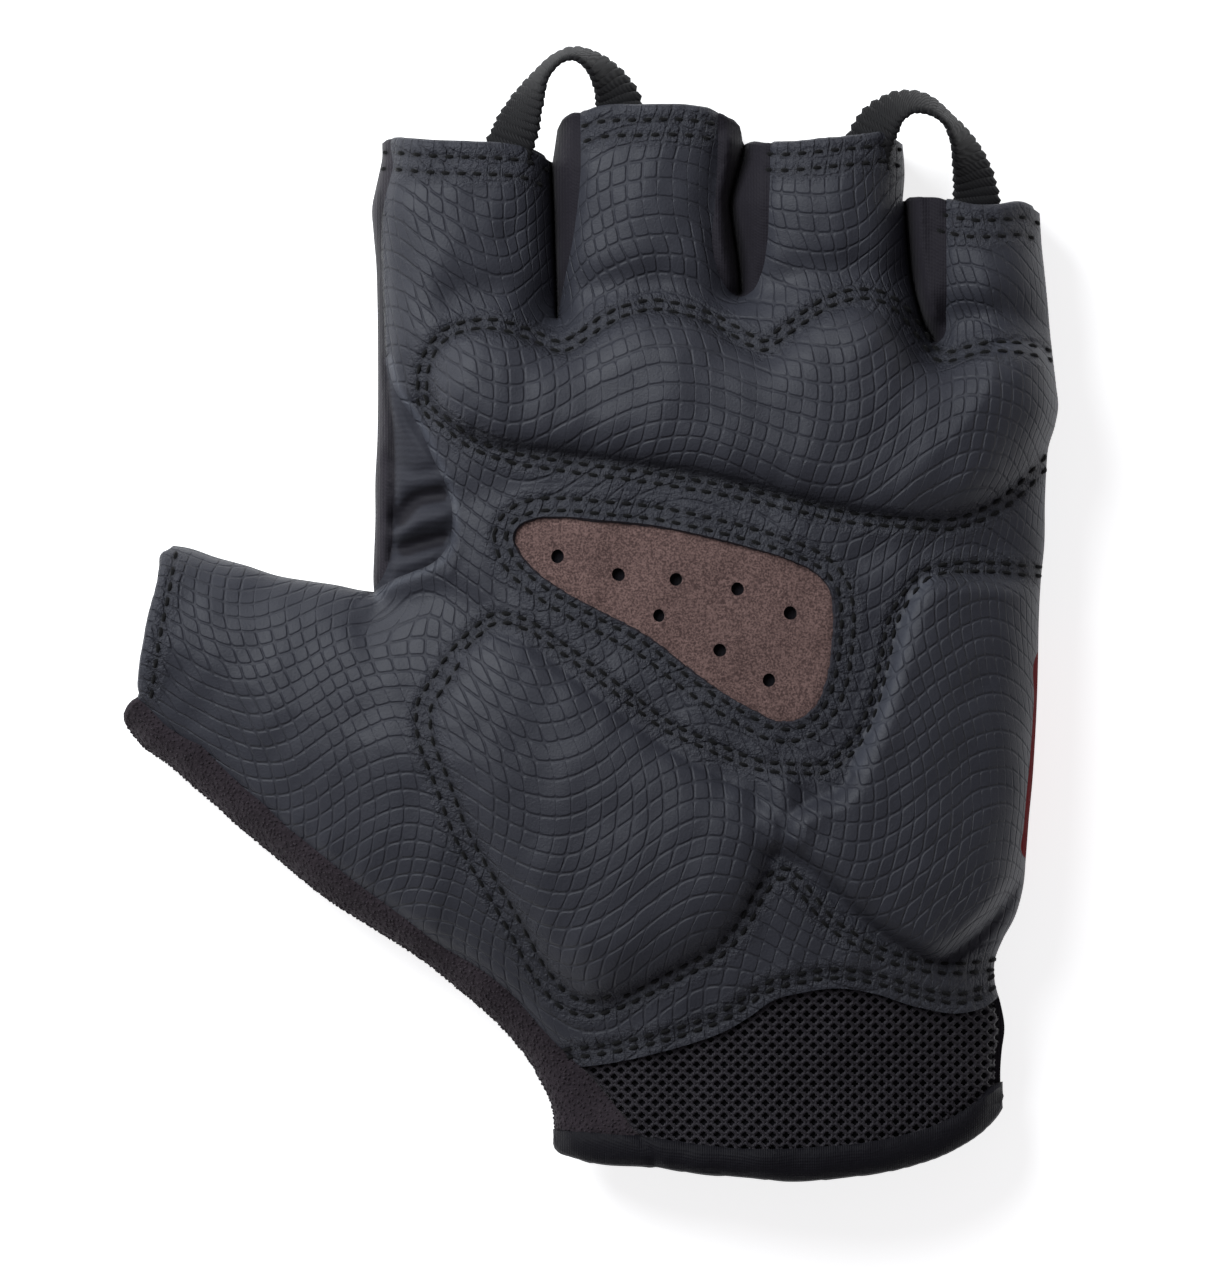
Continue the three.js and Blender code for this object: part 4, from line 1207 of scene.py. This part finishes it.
class Growth(Builder):
    """A geometry node tree with named sizes, which grows something on an object."""

    def __init__(self, name, **sizes):
        super().__init__(bpy.data.node_groups.new(name, "GeometryNodeTree"))
        for way in ("INPUT", "OUTPUT"):
            self.tree.interface.new_socket(
                "Geometry", in_out=way, socket_type="NodeSocketGeometry")
        self.start = self.tree.nodes.new("NodeGroupInput")
        self.end = self.tree.nodes.new("NodeGroupOutput")
        self.sizes = {}
        for label, value in sizes.items():
            kind = {int: "Int", float: "Float", tuple: "Vector"}[type(value)]
            made = self.tree.interface.new_socket(
                label.replace("_", " ").capitalize(), in_out="INPUT",
                socket_type="NodeSocket" + kind)
            made.default_value = value
            self.sizes[label] = made.identifier, value

    def given(self):
        """The start's geometry, then each of the sizes."""
        return [Value(self, self.start, number) for number in range(len(self.sizes) + 1)]

    def geo(self, kind, sockets=None, **settings):
        return self.node("GeometryNode" + kind, sockets, **settings)

    def stored(self, name, kind="FLOAT_VECTOR"):
        return self.geo("InputNamedAttribute", {"Name": name}, data_type=kind)

    def random(self, low, high, seed):
        return self.node("FunctionNodeRandomValue", {"Min": low, "Max": high, "Seed": seed},
                         data_type="FLOAT_VECTOR")

    def spun(self, rotation, angles):
        turn = self.node("FunctionNodeEulerToRotation", {0: angles})
        return self.node(
            "FunctionNodeRotateRotation", {0: rotation, 1: turn}, rotation_space="LOCAL")

    def tube(self, path, thick, sides, caps=False):
        ring = self.geo(
            "CurvePrimitiveCircle", {"Resolution": sides, "Radius": thick * 0.5}, mode="RADIUS")
        return self.geo("CurveToMesh", {"Curve": path, "Profile Curve": ring, "Fill Caps": caps})

    def along_rows(self, rows, pitch=None):
        """Points along each row, with rotations that follow it and face out."""
        spaced = self.geo("MeshToCurve", {0: rows})
        if pitch:
            spaced = self.geo("ResampleCurve", {"Curve": spaced, "Length": pitch}, mode="LENGTH")
        align = "FunctionNodeAlignRotationToVector"
        turned = self.node(align, {"Vector": self.geo("InputTangent")}, axis="X")
        turned = self.node(
            align, {"Rotation": turned, "Vector": self.stored("up")}, axis="Z", pivot_axis="X")
        return spaced, turned

    def close(self, geometry, finish):
        real = self.geo("RealizeInstances", {0: geometry})
        painted = self.geo("SetMaterial", {"Geometry": real, "Material": finish})
        self.tree.links.new(painted.socket, self.end.inputs[0])
        return self

    def grow(self, name, start, **sizes):
        """Runs the tree on an object and returns the result as a plain mesh object."""
        modifier = start.modifiers.new("growth", "NODES")
        modifier.node_group = self.tree
        for label, (identifier, value) in self.sizes.items():
            modifier[identifier] = sizes.get(label, value)
        bpy.context.view_layer.update()
        view = bpy.context.evaluated_depsgraph_get()
        mesh = bpy.data.meshes.new_from_object(start.evaluated_get(view), depsgraph=view)
        if not len(mesh.polygons):
            raise RuntimeError(f"{name} came out empty")
        bpy.data.objects.remove(start)
        mesh.name = name
        fill_in(mesh.polygons, "use_smooth", np.full(len(mesh.polygons), True), bool)
        return linked(name, mesh)


def stitch_growth(finish):
    """Thread stitches laid along rows, each dipping into the leather at both ends."""
    g = Growth("stitch_rows", length=0.0014, thread=0.00046, swing=0.12, seed=7)
    rows, length, thread, swing, seed = g.given()
    spaced, turned = g.along_rows(rows)
    half, dip = length * 0.5, thread * -0.75
    arc = g.geo("CurveQuadraticBezier", {
        "Resolution": 5, "Start": g.xyz(-half, 0.0, dip), "End": g.xyz(half, 0.0, dip),
        "Middle": g.xyz(0.0, 0.0, thread * 0.55),
    })
    reach = g.xyz(0.0, swing * 0.4, swing)
    wobble = g.random(g.vector("SCALE", reach, -1.0), reach, seed)
    return g.close(g.geo("InstanceOnPoints", {
        "Points": spaced, "Instance": g.tube(arc, thread, 6, caps=True),
        "Rotation": g.spun(turned, wobble),
    }), finish)


def rib_growth(finish):
    """Webbing: bars across the tape, close together along its length."""
    g = Growth("webbing_ribs", pitch=0.001, width=0.0078, thickness=0.0011, seed=3)
    rows, pitch, width, thick, seed = g.given()
    spaced, turned = g.along_rows(rows, pitch)
    ball = g.geo("MeshUVSphere", {"Segments": 8, "Rings": 6, "Radius": 0.5})
    x, y, z = g.axes(g.geo("InputPosition"))
    blunt = abs(y) ** 0.42 * y.sign() * 0.669
    bar = g.geo("SetPosition", {"Geometry": ball, "Position": g.xyz(x, blunt, z)})
    size = g.xyz(pitch * 1.95, width, thick)
    vary = g.random((1, 0.96, 0.94), (1, 1.03, 1.06), seed)
    return g.close(g.geo("InstanceOnPoints", {
        "Points": spaced, "Instance": bar, "Rotation": turned,
        "Scale": g.vector("MULTIPLY", vary, size),
    }), finish)


def net_growth(finish):
    """A net of small round meshes, laid down on the panel below it."""
    g = Growth("net_meshes", mesh_width=0.00206, row_height=0.00096, strand=0.0006, columns=40,
               rows=36, corner=(-0.012, -0.086, 0.05))
    ground, across, along, strand, columns, rows, corner = g.given()
    spots = g.geo("MeshLine", {"Count": columns * rows}, mode="OFFSET")
    number = g.geo("InputIndex")
    row = ((number + 0.5) / columns).whole()
    column = number - row * columns
    x = row.modulo(2.0).multiply_add(0.5, column) * across
    at = g.vector("ADD", g.xyz(x, row * along), corner)
    spots = g.geo("SetPosition", {"Geometry": spots, "Position": at})
    ring = g.geo("MeshCircle", {"Vertices": 8, "Radius": along * 0.78})
    stretch = g.xyz(across / along * 0.5, 1.0, 1.0)
    ring = g.geo("Transform", {"Geometry": ring, "Scale": stretch})
    ring = g.tube(g.geo("MeshToCurve", {0: ring}), strand, 5)
    laid = g.geo("InstanceOnPoints", {"Points": spots, "Instance": ring})
    real = g.geo("RealizeInstances", {0: laid})
    x, y, z = g.axes(g.geo("InputPosition"))
    _, _, high = g.axes(corner)
    ray = g.geo("Raycast", {
        "Target Geometry": ground, "Source Position": g.xyz(x, y, high),
        "Ray Direction": (0, 0, -1), "Ray Length": 0.2,
    })
    lift = g.vector("SCALE", ray.out("Hit Normal"), z - high)
    lifted = g.vector("ADD", ray.out("Hit Position"), lift)
    kept = g.geo("StoreNamedAttribute", {"Geometry": real, "Name": "laid", "Value": lifted},
                 data_type="FLOAT_VECTOR", domain="POINT")
    kept = g.geo("DeleteGeometry", {"Geometry": kept, "Selection": 1.0 - ray.out("Is Hit")},
                 domain="POINT")
    down = g.geo("SetPosition", {"Geometry": kept, "Position": g.stored("laid")})
    return g.close(g.geo("RemoveAttribute", {"Geometry": down, "Name": "laid"}), finish)


def pile_growth(finish):
    """Towelling: small loops standing all over a panel."""
    g = Growth("towelling_loops", spacing=0.00056, tall=0.00040, seed=5)
    ground, spacing, tall, seed = g.given()
    spread = g.geo("DistributePointsOnFaces", {
        "Mesh": ground, "Distance Min": spacing, "Density Max": 3.0e6, "Seed": seed,
        "Selection": g.stored("outer", "FLOAT"),
    }, distribute_method="POISSON")
    loop = g.geo("MeshUVSphere", {"Segments": 4, "Rings": 3, "Radius": 0.5})
    spin = g.random((-0.5, -0.5, 0), (0.5, 0.5, 6.28), seed)
    size = g.random((1.2, 0.9, 0.7), (2.0, 1.3, 1.1), 9)
    laid = g.geo("InstanceOnPoints", {
        "Points": spread, "Instance": loop, "Rotation": g.spun(spread.out("Rotation"), spin),
        "Scale": g.vector("SCALE", size, tall),
    })
    both = g.geo("JoinGeometry", {0: laid})
    g.tree.links.new(ground.socket, both.node.inputs[0])
    return g.close(both, finish)


# ---- Sizes and colours that a user would change ----

def in_mm(name, description, default, low, high):
    return FloatProperty(name=name, description=description + ", in millimetres", default=default,
                         min=low, max=high)


def length_property(name, description, default):
    return FloatProperty(name=name, description=description, default=default, unit="LENGTH")


class GloveForm(bpy.types.PropertyGroup):
    palm_height: in_mm("Palm height", "Height of the palm above the table", 25.0, 15, 35)
    grid: in_mm("Mesh grid", "Distance between mesh points", 0.68, 0.4, 4)
    wall: in_mm("Leather thickness", "Leather with its lining", 0.9, 0.5, 2)
    pad_fill: FloatProperty(
        name="Pad fill", description="How full the three palm pads are",
        default=1.0, min=0, max=1.3, subtype="FACTOR")
    stitch_pitch: length_property("Stitch pitch", "Distance from one stitch to the next", 0.00245)
    stitch_length: length_property(
        "Stitch length", "Length of thread that shows in a stitch", 0.0016)
    hem_stitch: length_property(
        "Hem stitch length", "Length of thread that shows at the hems", 0.0012)
    thread: length_property("Thread", "Thickness of the sewing thread", 0.0006)
    net_width: length_property("Net mesh width", "Width of one mesh of the net", 0.00206)
    net_row: length_property("Net row height", "Distance between two rows of the net", 0.00096)
    net_strand: length_property("Net strand", "Thickness of the net's strands", 0.0006)
    webbing_width: length_property("Webbing width", "Width of the pull loops' webbing", 0.0076)
    webbing_thick: length_property("Webbing thickness", "Thickness of the webbing", 0.0012)
    rib_pitch: length_property("Webbing rib", "Distance between two ribs of the webbing", 0.00122)
    seed: IntProperty(name="Seed", description="Fixes everything irregular", default=7, min=0)


def colour_property(name, description, default):
    return FloatVectorProperty(name=name, description=description, default=default,
                               subtype="COLOR", size=3, min=0, max=1)


class GloveLook(bpy.types.PropertyGroup):
    leather_high: colour_property("Leather", "Lightest leather", (0.0415, 0.0437, 0.057))
    leather_low: colour_property("Leather shade", "Darkest leather", (0.0270, 0.0282, 0.038))
    # Also the colour of the painted shade in folds, pucker hollows and along stitch rows.
    leather_line_and_painted_shade: colour_property("Grain line", "Lines of the grain", (0.0125, 0.0128, 0.0165))
    # Colour of the painted highlights along edges and ridges.
    leather_painted_highlight: colour_property("Leather edge", "Cut edges and ridges", (0.085, 0.092, 0.115))
    suede_high: colour_property("Suede", "Raised nap", (0.272, 0.172, 0.154))
    suede_low: colour_property("Suede shade", "Nap between", (0.084, 0.051, 0.048))
    cloth_high: colour_property("Cloth", "Stretch cloth", (0.0145, 0.012, 0.0185))
    cloth_low: colour_property("Cloth shade", "Between its wales", (0.008, 0.0066, 0.0108))
    back_high: colour_property("Back cloth", "Stretch cloth of the back", (0.034, 0.029, 0.038))
    terry_high: colour_property("Towelling", "Loops", (0.054, 0.043, 0.051))
    terry_low: colour_property("Towelling shade", "Between loops", (0.027, 0.0213, 0.0258))
    black_high: colour_property("Yarn", "Thread and webbing", (0.0058, 0.0055, 0.007))
    black_low: colour_property("Yarn shade", "Its darker turns", (0.0025, 0.0025, 0.003))
    net_high: colour_property("Net", "Yarn of the net", (0.037, 0.032, 0.040))
    net_low: colour_property("Net shade", "Its darker turns", (0.0165, 0.0147, 0.019))
    tape_high: colour_property("Binding", "Edge tape", (0.0056, 0.0049, 0.0088))
    tape_low: colour_property("Binding shade", "Its darker turns", (0.0034, 0.0030, 0.0055))
    trim_high: colour_property("Trim", "Side trim", (0.15, 0.006, 0.009))
    trim_low: colour_property("Trim shade", "Between its wales", (0.07, 0.003, 0.005))
    grain_width: FloatProperty(
        name="Grain width", description="Width of one grain cell, in millimetres",
        default=2.3, min=0.5)
    grain_height: FloatProperty(
        name="Grain height", description="Height of one row, in millimetres",
        default=2.8, min=0.5)
    grain_depth: FloatProperty(
        name="Grain depth", description="Depth of the lines, in millimetres",
        default=0.155, min=0)


FINISHES = {}


def finish(name):
    """A finish by name, made once."""
    look = bpy.context.scene.glove_look
    recipes = {
        "leather": lambda: leather_finish(look),
        "suede": lambda: suede_finish(look),
        "cloth": lambda: knit_finish("stretch_knit", look.cloth_low, look.cloth_high),
        "towelling": lambda: pile_finish(look),
        "net": lambda: yarn_finish("net_yarn", look.net_low, look.net_high, 0.5, rough=0.55),
        "gusset": lambda: rib_finish(look),
        "back": lambda: knit_finish("back_knit", look.cloth_low, look.back_high),
        "lining": lambda: knit_finish(
            "dark_lining", look.black_low, look.cloth_low, pitch=0.5, sheen=0.0, rough=0.9),
        "thread": lambda: yarn_finish(
            "sewing_thread", look.black_low, look.black_low, 0.35, rough=0.8),
        "webbing": lambda: yarn_finish("woven_webbing", look.black_low, look.black_high, 0.45),
        "tape": lambda: knit_finish(
            "folded_tape", look.tape_low, look.tape_high, pitch=0.35, sheen=0.03, rough=0.6,
            gloss=0.2),
        "trim": lambda: knit_finish(
            "red_trim", look.trim_low, look.trim_high, pitch=0.4, sheen=0.0, rough=0.85,
            gloss=0.06),
    }
    if name not in FINISHES:
        FINISHES[name] = recipes[name]()
    return FINISHES[name]


# ---- The glove's pieces ----

class GlovePiece:
    """What the operators share: each makes some of the glove's pieces."""

    def execute(self, context):
        self.make(context.scene.glove_form)
        return {"FINISHED"}


class GLOVE_OT_leather(GlovePiece, bpy.types.Operator):
    """Cuts the leather palm with its finger fronts"""
    bl_idname = "glove.leather"
    bl_label = "Leather palm"

    def make(self, form):
        palm = panel_object("palm_leather", ["leather"], form.wall, hem=0.7)
        place(palm, finish("leather"), "leather", ["palm_panel"], cut=(0.130, 0.150))


class GLOVE_OT_cushions(GlovePiece, bpy.types.Operator):
    """Makes the three padded leather cushions of the palm"""
    bl_idname = "glove.cushions"
    bl_label = "Palm cushions"

    def make(self, form):
        for zone in ("knuckle", "thenar", "hypothenar"):
            cushion = panel_object(zone + "_cushion", [zone], form.wall, padding=0.8)
            place(cushion, finish("leather"), "leather", [zone + "_pad"], fill=0.75)


class GLOVE_OT_suede(GlovePiece, bpy.types.Operator):
    """Lays the punched suede behind its opening in the leather"""
    bl_idname = "glove.suede"
    bl_label = "Suede inset"

    def make(self, form):
        turn = np.linspace(0, 2 * math.pi, 28, endpoint=False)
        ring = np.column_stack([np.cos(turn), np.sin(turn)]) * HOLE_RADIUS
        holes = [ring + spot for spot in HOLES]
        # The opening's outline runs clockwise, so its left is outside.
        wide = shifted(ringed(line("patch")), SUEDE_MARGIN)[:-1]
        patch = laid_behind("suede_inset", wide, holes, 0.8, form.wall + 0.04, 0.8)
        lining = laid_behind("inset_lining", wide, [], 1.6, form.wall + 1.2, 0.5)
        place(lining, finish("lining"), "mesh", cut=(0.052, 0.036))
        place(patch, finish("suede"), "suede", ["suede_patch"], cut=(0.052, 0.036),
              with_pieces=[])


class GLOVE_OT_cloth(GlovePiece, bpy.types.Operator):
    """Cuts the stretch cloth between the fingers, at the thumb and on the back"""
    bl_idname = "glove.cloth"
    bl_label = "Stretch cloth"

    def make(self, form):
        for name, zones, look, node, cut in (
            ("fourchette_one", ["side_1"], "cloth", "fourchette_index_middle", (0.010, 0.040)),
            ("fourchette_two", ["side_2"], "cloth", "fourchette_middle_ring", (0.020, 0.040)),
            ("fourchette_three", ["side_3"], "cloth", "fourchette_ring_little", (0.010, 0.030)),
            ("thumb_crotch_gusset", ["gusset"], "gusset", "thumb_gusset", (0.012, 0.040)),
            ("back_of_hand", ["back", "strip"], "back", "back_panel", (0.120, 0.160)),
        ):
            cloth = panel_object(name, zones, 0.8, hem=0.3)
            place(cloth, finish(look), "stretch_cloth", [node], cut=cut)


class GLOVE_OT_towelling(GlovePiece, bpy.types.Operator):
    """Covers the back of the thumb with towelling"""
    bl_idname = "glove.towelling"
    bl_label = "Towelling thumb"

    def make(self, form):
        points, faces, rims, *rest = shell().piece(["terry", "terry_back"], 0.9, hem=0.5)
        base = new_object("thumb_ground", points, [faces, rims], *rest)
        outer = np.zeros(len(points), np.float32)
        outer[faces[:len(faces) // 2]] = 1
        outer[points[:, 2] < 0.8] = 0
        outer[nearest(points[:, :2], line("thumb_upper"), 6)[0] < 2.5] = 0
        mark(base.data, "outer", outer)
        thumb = pile_growth(finish("towelling")).grow("thumb_towelling", base)
        place(thumb, None, "terry", ["thumb_back"], fill=0.2)


class GLOVE_OT_trim(GlovePiece, bpy.types.Operator):
    """Sews the red trim along the outer edge of the hand"""
    bl_idname = "glove.trim"
    bl_label = "Side trim"

    def make(self, form):
        trim = panel_object("side_piping", ["trim", "trim_back"], 0.8)
        place(trim, finish("trim"), "trim", ["side_trim"], cut=(0.012, 0.045))


class GLOVE_OT_net(GlovePiece, bpy.types.Operator):
    """Knits the net at the wrist over its dark lining"""
    bl_idname = "glove.net"
    bl_label = "Wrist net"

    def make(self, form):
        glove = shell()
        lining = panel_object("wrist_lining", ["net"], 0.5, sunk=form.wall + 0.45)
        # The net reaches a little way under its neighbours.
        middles = glove.points[glove.faces].mean(axis=1)
        near = (middles[:, 1] < -52) & (middles[:, 0] > -6)
        near &= np.any([nearest(middles[:, :2], line(name), 1.4)[0] < 1.3
                        for name in ("net_edge", "terry_seam", "binding_edge")], axis=0)
        zones = np.isin(glove.zone, ["net", "leather", "terry", "binding"]) & (middles[:, 2] > 5)
        chosen = glove.faces[zones & ((glove.zone == "net") | near)]
        kept, faces = np.unique(chosen, return_inverse=True)
        ground = glove.points[kept] - glove.normal[kept] * (form.wall + 0.02)
        base = new_object("net_ground", ground, [faces.reshape(-1, 3)])
        net = net_growth(finish("net")).grow(
            "wrist_net", base, mesh_width=form.net_width, row_height=form.net_row,
            strand=form.net_strand)
        place(net, None, "mesh", ["mesh_cuff"])
        place(lining, finish("lining"), "mesh", cut=(0.068, 0.026), with_pieces=[net])


class GLOVE_OT_binding(GlovePiece, bpy.types.Operator):
    """Binds the wrist with folded tape"""
    bl_idname = "glove.binding"
    bl_label = "Wrist binding"

    def make(self, form):
        tape = panel_object("wrist_binding", ["binding"], 1.5, hem=0.4, sunk=-0.35)
        place(tape, finish("tape"), "binding", ["cuff_binding"], cut=(0.010, 0.150))


# Columns: the middle of the webbing, and the tilt of its flat side in degrees,
# from 0, lying flat, to 90, on edge.
PULL_LOOPS = {
    "pull_loop_index_middle": (
        ((-12.9, 64.0, 18.6), 4), ((-12.6, 69.0, 18.6), 4), ((-11.6, 71.6, 18.4), 10),
        ((-10.6, 74.6, 18.0), 30), ((-9.3, 77.6, 17.6), 52), ((-7.8, 80.4, 17.4), 70),
        ((-5.4, 83.0, 17.4), 76), ((-2.6, 84.0, 17.4), 74), ((0.2, 82.8, 17.6), 64),
        ((2.4, 80.4, 17.8), 46), ((3.9, 77.4, 18.2), 22), ((4.3, 74.6, 18.6), 6),
        ((4.4, 69.6, 18.8), 4),
    ),
    "pull_loop_ring_little": (
        ((41.0, 64.4, 17.8), 4), ((41.4, 69.6, 17.8), 6), ((42.6, 72.6, 17.6), 18),
        ((44.5, 75.2, 17.4), 40), ((47.4, 76.7, 17.2), 58), ((50.5, 76.3, 17.0), 66),
        ((53.3, 74.3, 16.8), 74), ((55.4, 71.3, 16.6), 62), ((56.7, 68.0, 16.4), 42),
        ((57.5, 64.8, 16.4), 24), ((57.8, 61.6, 16.6), 10), ((57.9, 55.6, 17.0), 6),
    ),
}


class GLOVE_OT_pull_loops(GlovePiece, bpy.types.Operator):
    """Weaves the two webbing loops at the fingertips"""
    bl_idname = "glove.pull_loops"
    bl_label = "Pull loops"

    def make(self, form):
        growth = rib_growth(finish("webbing"))
        for node, rows in PULL_LOOPS.items():
            path = curve_in_space(np.array([(*at, tilt) for at, tilt in rows], float), 0.5)
            along = unit(np.gradient(path[:, :3], axis=0), 0)
            side = unit(np.cross(along, (0, 0, 1.0)), 0)
            level = np.cross(side, along)
            tilt = np.radians(path[:, 3])[:, None]
            up = level * np.cos(tilt) - side * np.sin(tilt)
            base = path_object(node + "_path", [path[:, :3]], [up])
            loop = growth.grow(node.replace("pull_loop", "webbing"), base, pitch=form.rib_pitch,
                               width=form.webbing_width, thickness=form.webbing_thick)
            place(loop, None, "webbing", [node], fill=0.3)


class GLOVE_OT_stitching(GlovePiece, bpy.types.Operator):
    """Sews the double rows of stitches"""
    bl_idname = "glove.stitching"
    bl_label = "Stitching"

    def make(self, form):
        growth = stitch_growth(finish("thread"))
        plan = shell().plan
        rows = [(name.endswith("hem"), row[::STITCH_PARTS]) for name, row, _ in plan.threads()]
        for piece, hem, length in (("sewn_stitches", False, form.stitch_length),
                                   ("hem_stitches", True, form.hem_stitch)):
            laid = [plan.surface(row) for at_hem, row in rows if at_hem == hem]
            base = path_object(piece + "_paths", [points + up * THREAD_LIFT for points, up in laid],
                               [up for _, up in laid])
            thread = growth.grow(piece, base, length=length, thread=form.thread, seed=form.seed)
            place(thread, None, "binding")


class GLOVE_OT_stage(GlovePiece, bpy.types.Operator):
    """Sets the floor, the soft light and the camera"""
    bl_idname = "glove.stage"
    bl_label = "Stage"

    def make(self, form):
        scene = bpy.context.scene
        mesh = bpy.data.meshes.new("floor")
        corners = ((-3, -3), (3, -3), (3, 3), (-3, 3))
        mesh.from_pydata([(x, y, FLOOR) for x, y in corners], [], [(0, 1, 2, 3)])
        mesh.materials.append(floor_finish())
        floor = linked("floor", mesh)
        lamp = bpy.data.lights.new("window", "AREA")
        lamp.shape, lamp.size, lamp.energy, lamp.color = "DISK", 0.3, 1.86, (0.93, 0.97, 1.0)
        light = linked("window", lamp)
        light.location = (-0.21, 0.22, 0.32)
        way = Vector((0, 0, 0.01)) - light.location
        light.rotation_euler = way.to_track_quat("-Z", "Y").to_euler()
        scene.world = bpy.data.worlds.new("studio")
        scene.world.use_nodes = True
        sky = scene.world.node_tree.nodes["Background"].inputs
        sky["Color"].default_value = (1, 0.95, 1.02, 1)
        sky["Strength"].default_value = 0.15
        data = bpy.data.cameras.new("camera")
        data.lens, data.sensor_width, data.sensor_height = LENS, SENSOR, SENSOR
        data.sensor_fit, data.clip_end = "VERTICAL", 20
        scene.camera = linked("camera", data)
        scene.camera.location = (0.0033, -0.00405, PALM_TOP + VIEW_HEIGHT * LENS / SENSOR)
        scene.view_settings.view_transform = "Standard"


PIECES = (
    GLOVE_OT_leather, GLOVE_OT_cushions, GLOVE_OT_suede, GLOVE_OT_cloth, GLOVE_OT_towelling,
    GLOVE_OT_trim, GLOVE_OT_net, GLOVE_OT_binding, GLOVE_OT_pull_loops, GLOVE_OT_stitching,
    GLOVE_OT_stage,
)


class GLOVE_PT_pieces(bpy.types.Panel):
    """Lists the glove's pieces and its sizes"""
    bl_idname = "GLOVE_PT_pieces"
    bl_label = "Glove"
    bl_space_type = "VIEW_3D"
    bl_region_type = "UI"
    bl_category = "Glove"

    def draw(self, context):
        for group in (context.scene.glove_form, context.scene.glove_look):
            box = self.layout.box()
            for name in group.__annotations__:
                box.prop(group, name)
        for piece in PIECES:
            self.layout.operator(piece.bl_idname)


CLASSES = (GloveForm, GloveLook, *PIECES, GLOVE_PT_pieces)


def register():
    for one in CLASSES:
        bpy.utils.register_class(one)
    bpy.types.Scene.glove_form = PointerProperty(type=GloveForm)
    bpy.types.Scene.glove_look = PointerProperty(type=GloveLook)


def unregister():
    del bpy.types.Scene.glove_look
    del bpy.types.Scene.glove_form
    for one in reversed(CLASSES):
        bpy.utils.unregister_class(one)


def main():
    register()
    for piece in PIECES:
        group, name = piece.bl_idname.split(".")
        getattr(getattr(bpy.ops, group), name)()
    bpy.context.view_layer.update()


if __name__ == "__main__":
    main()
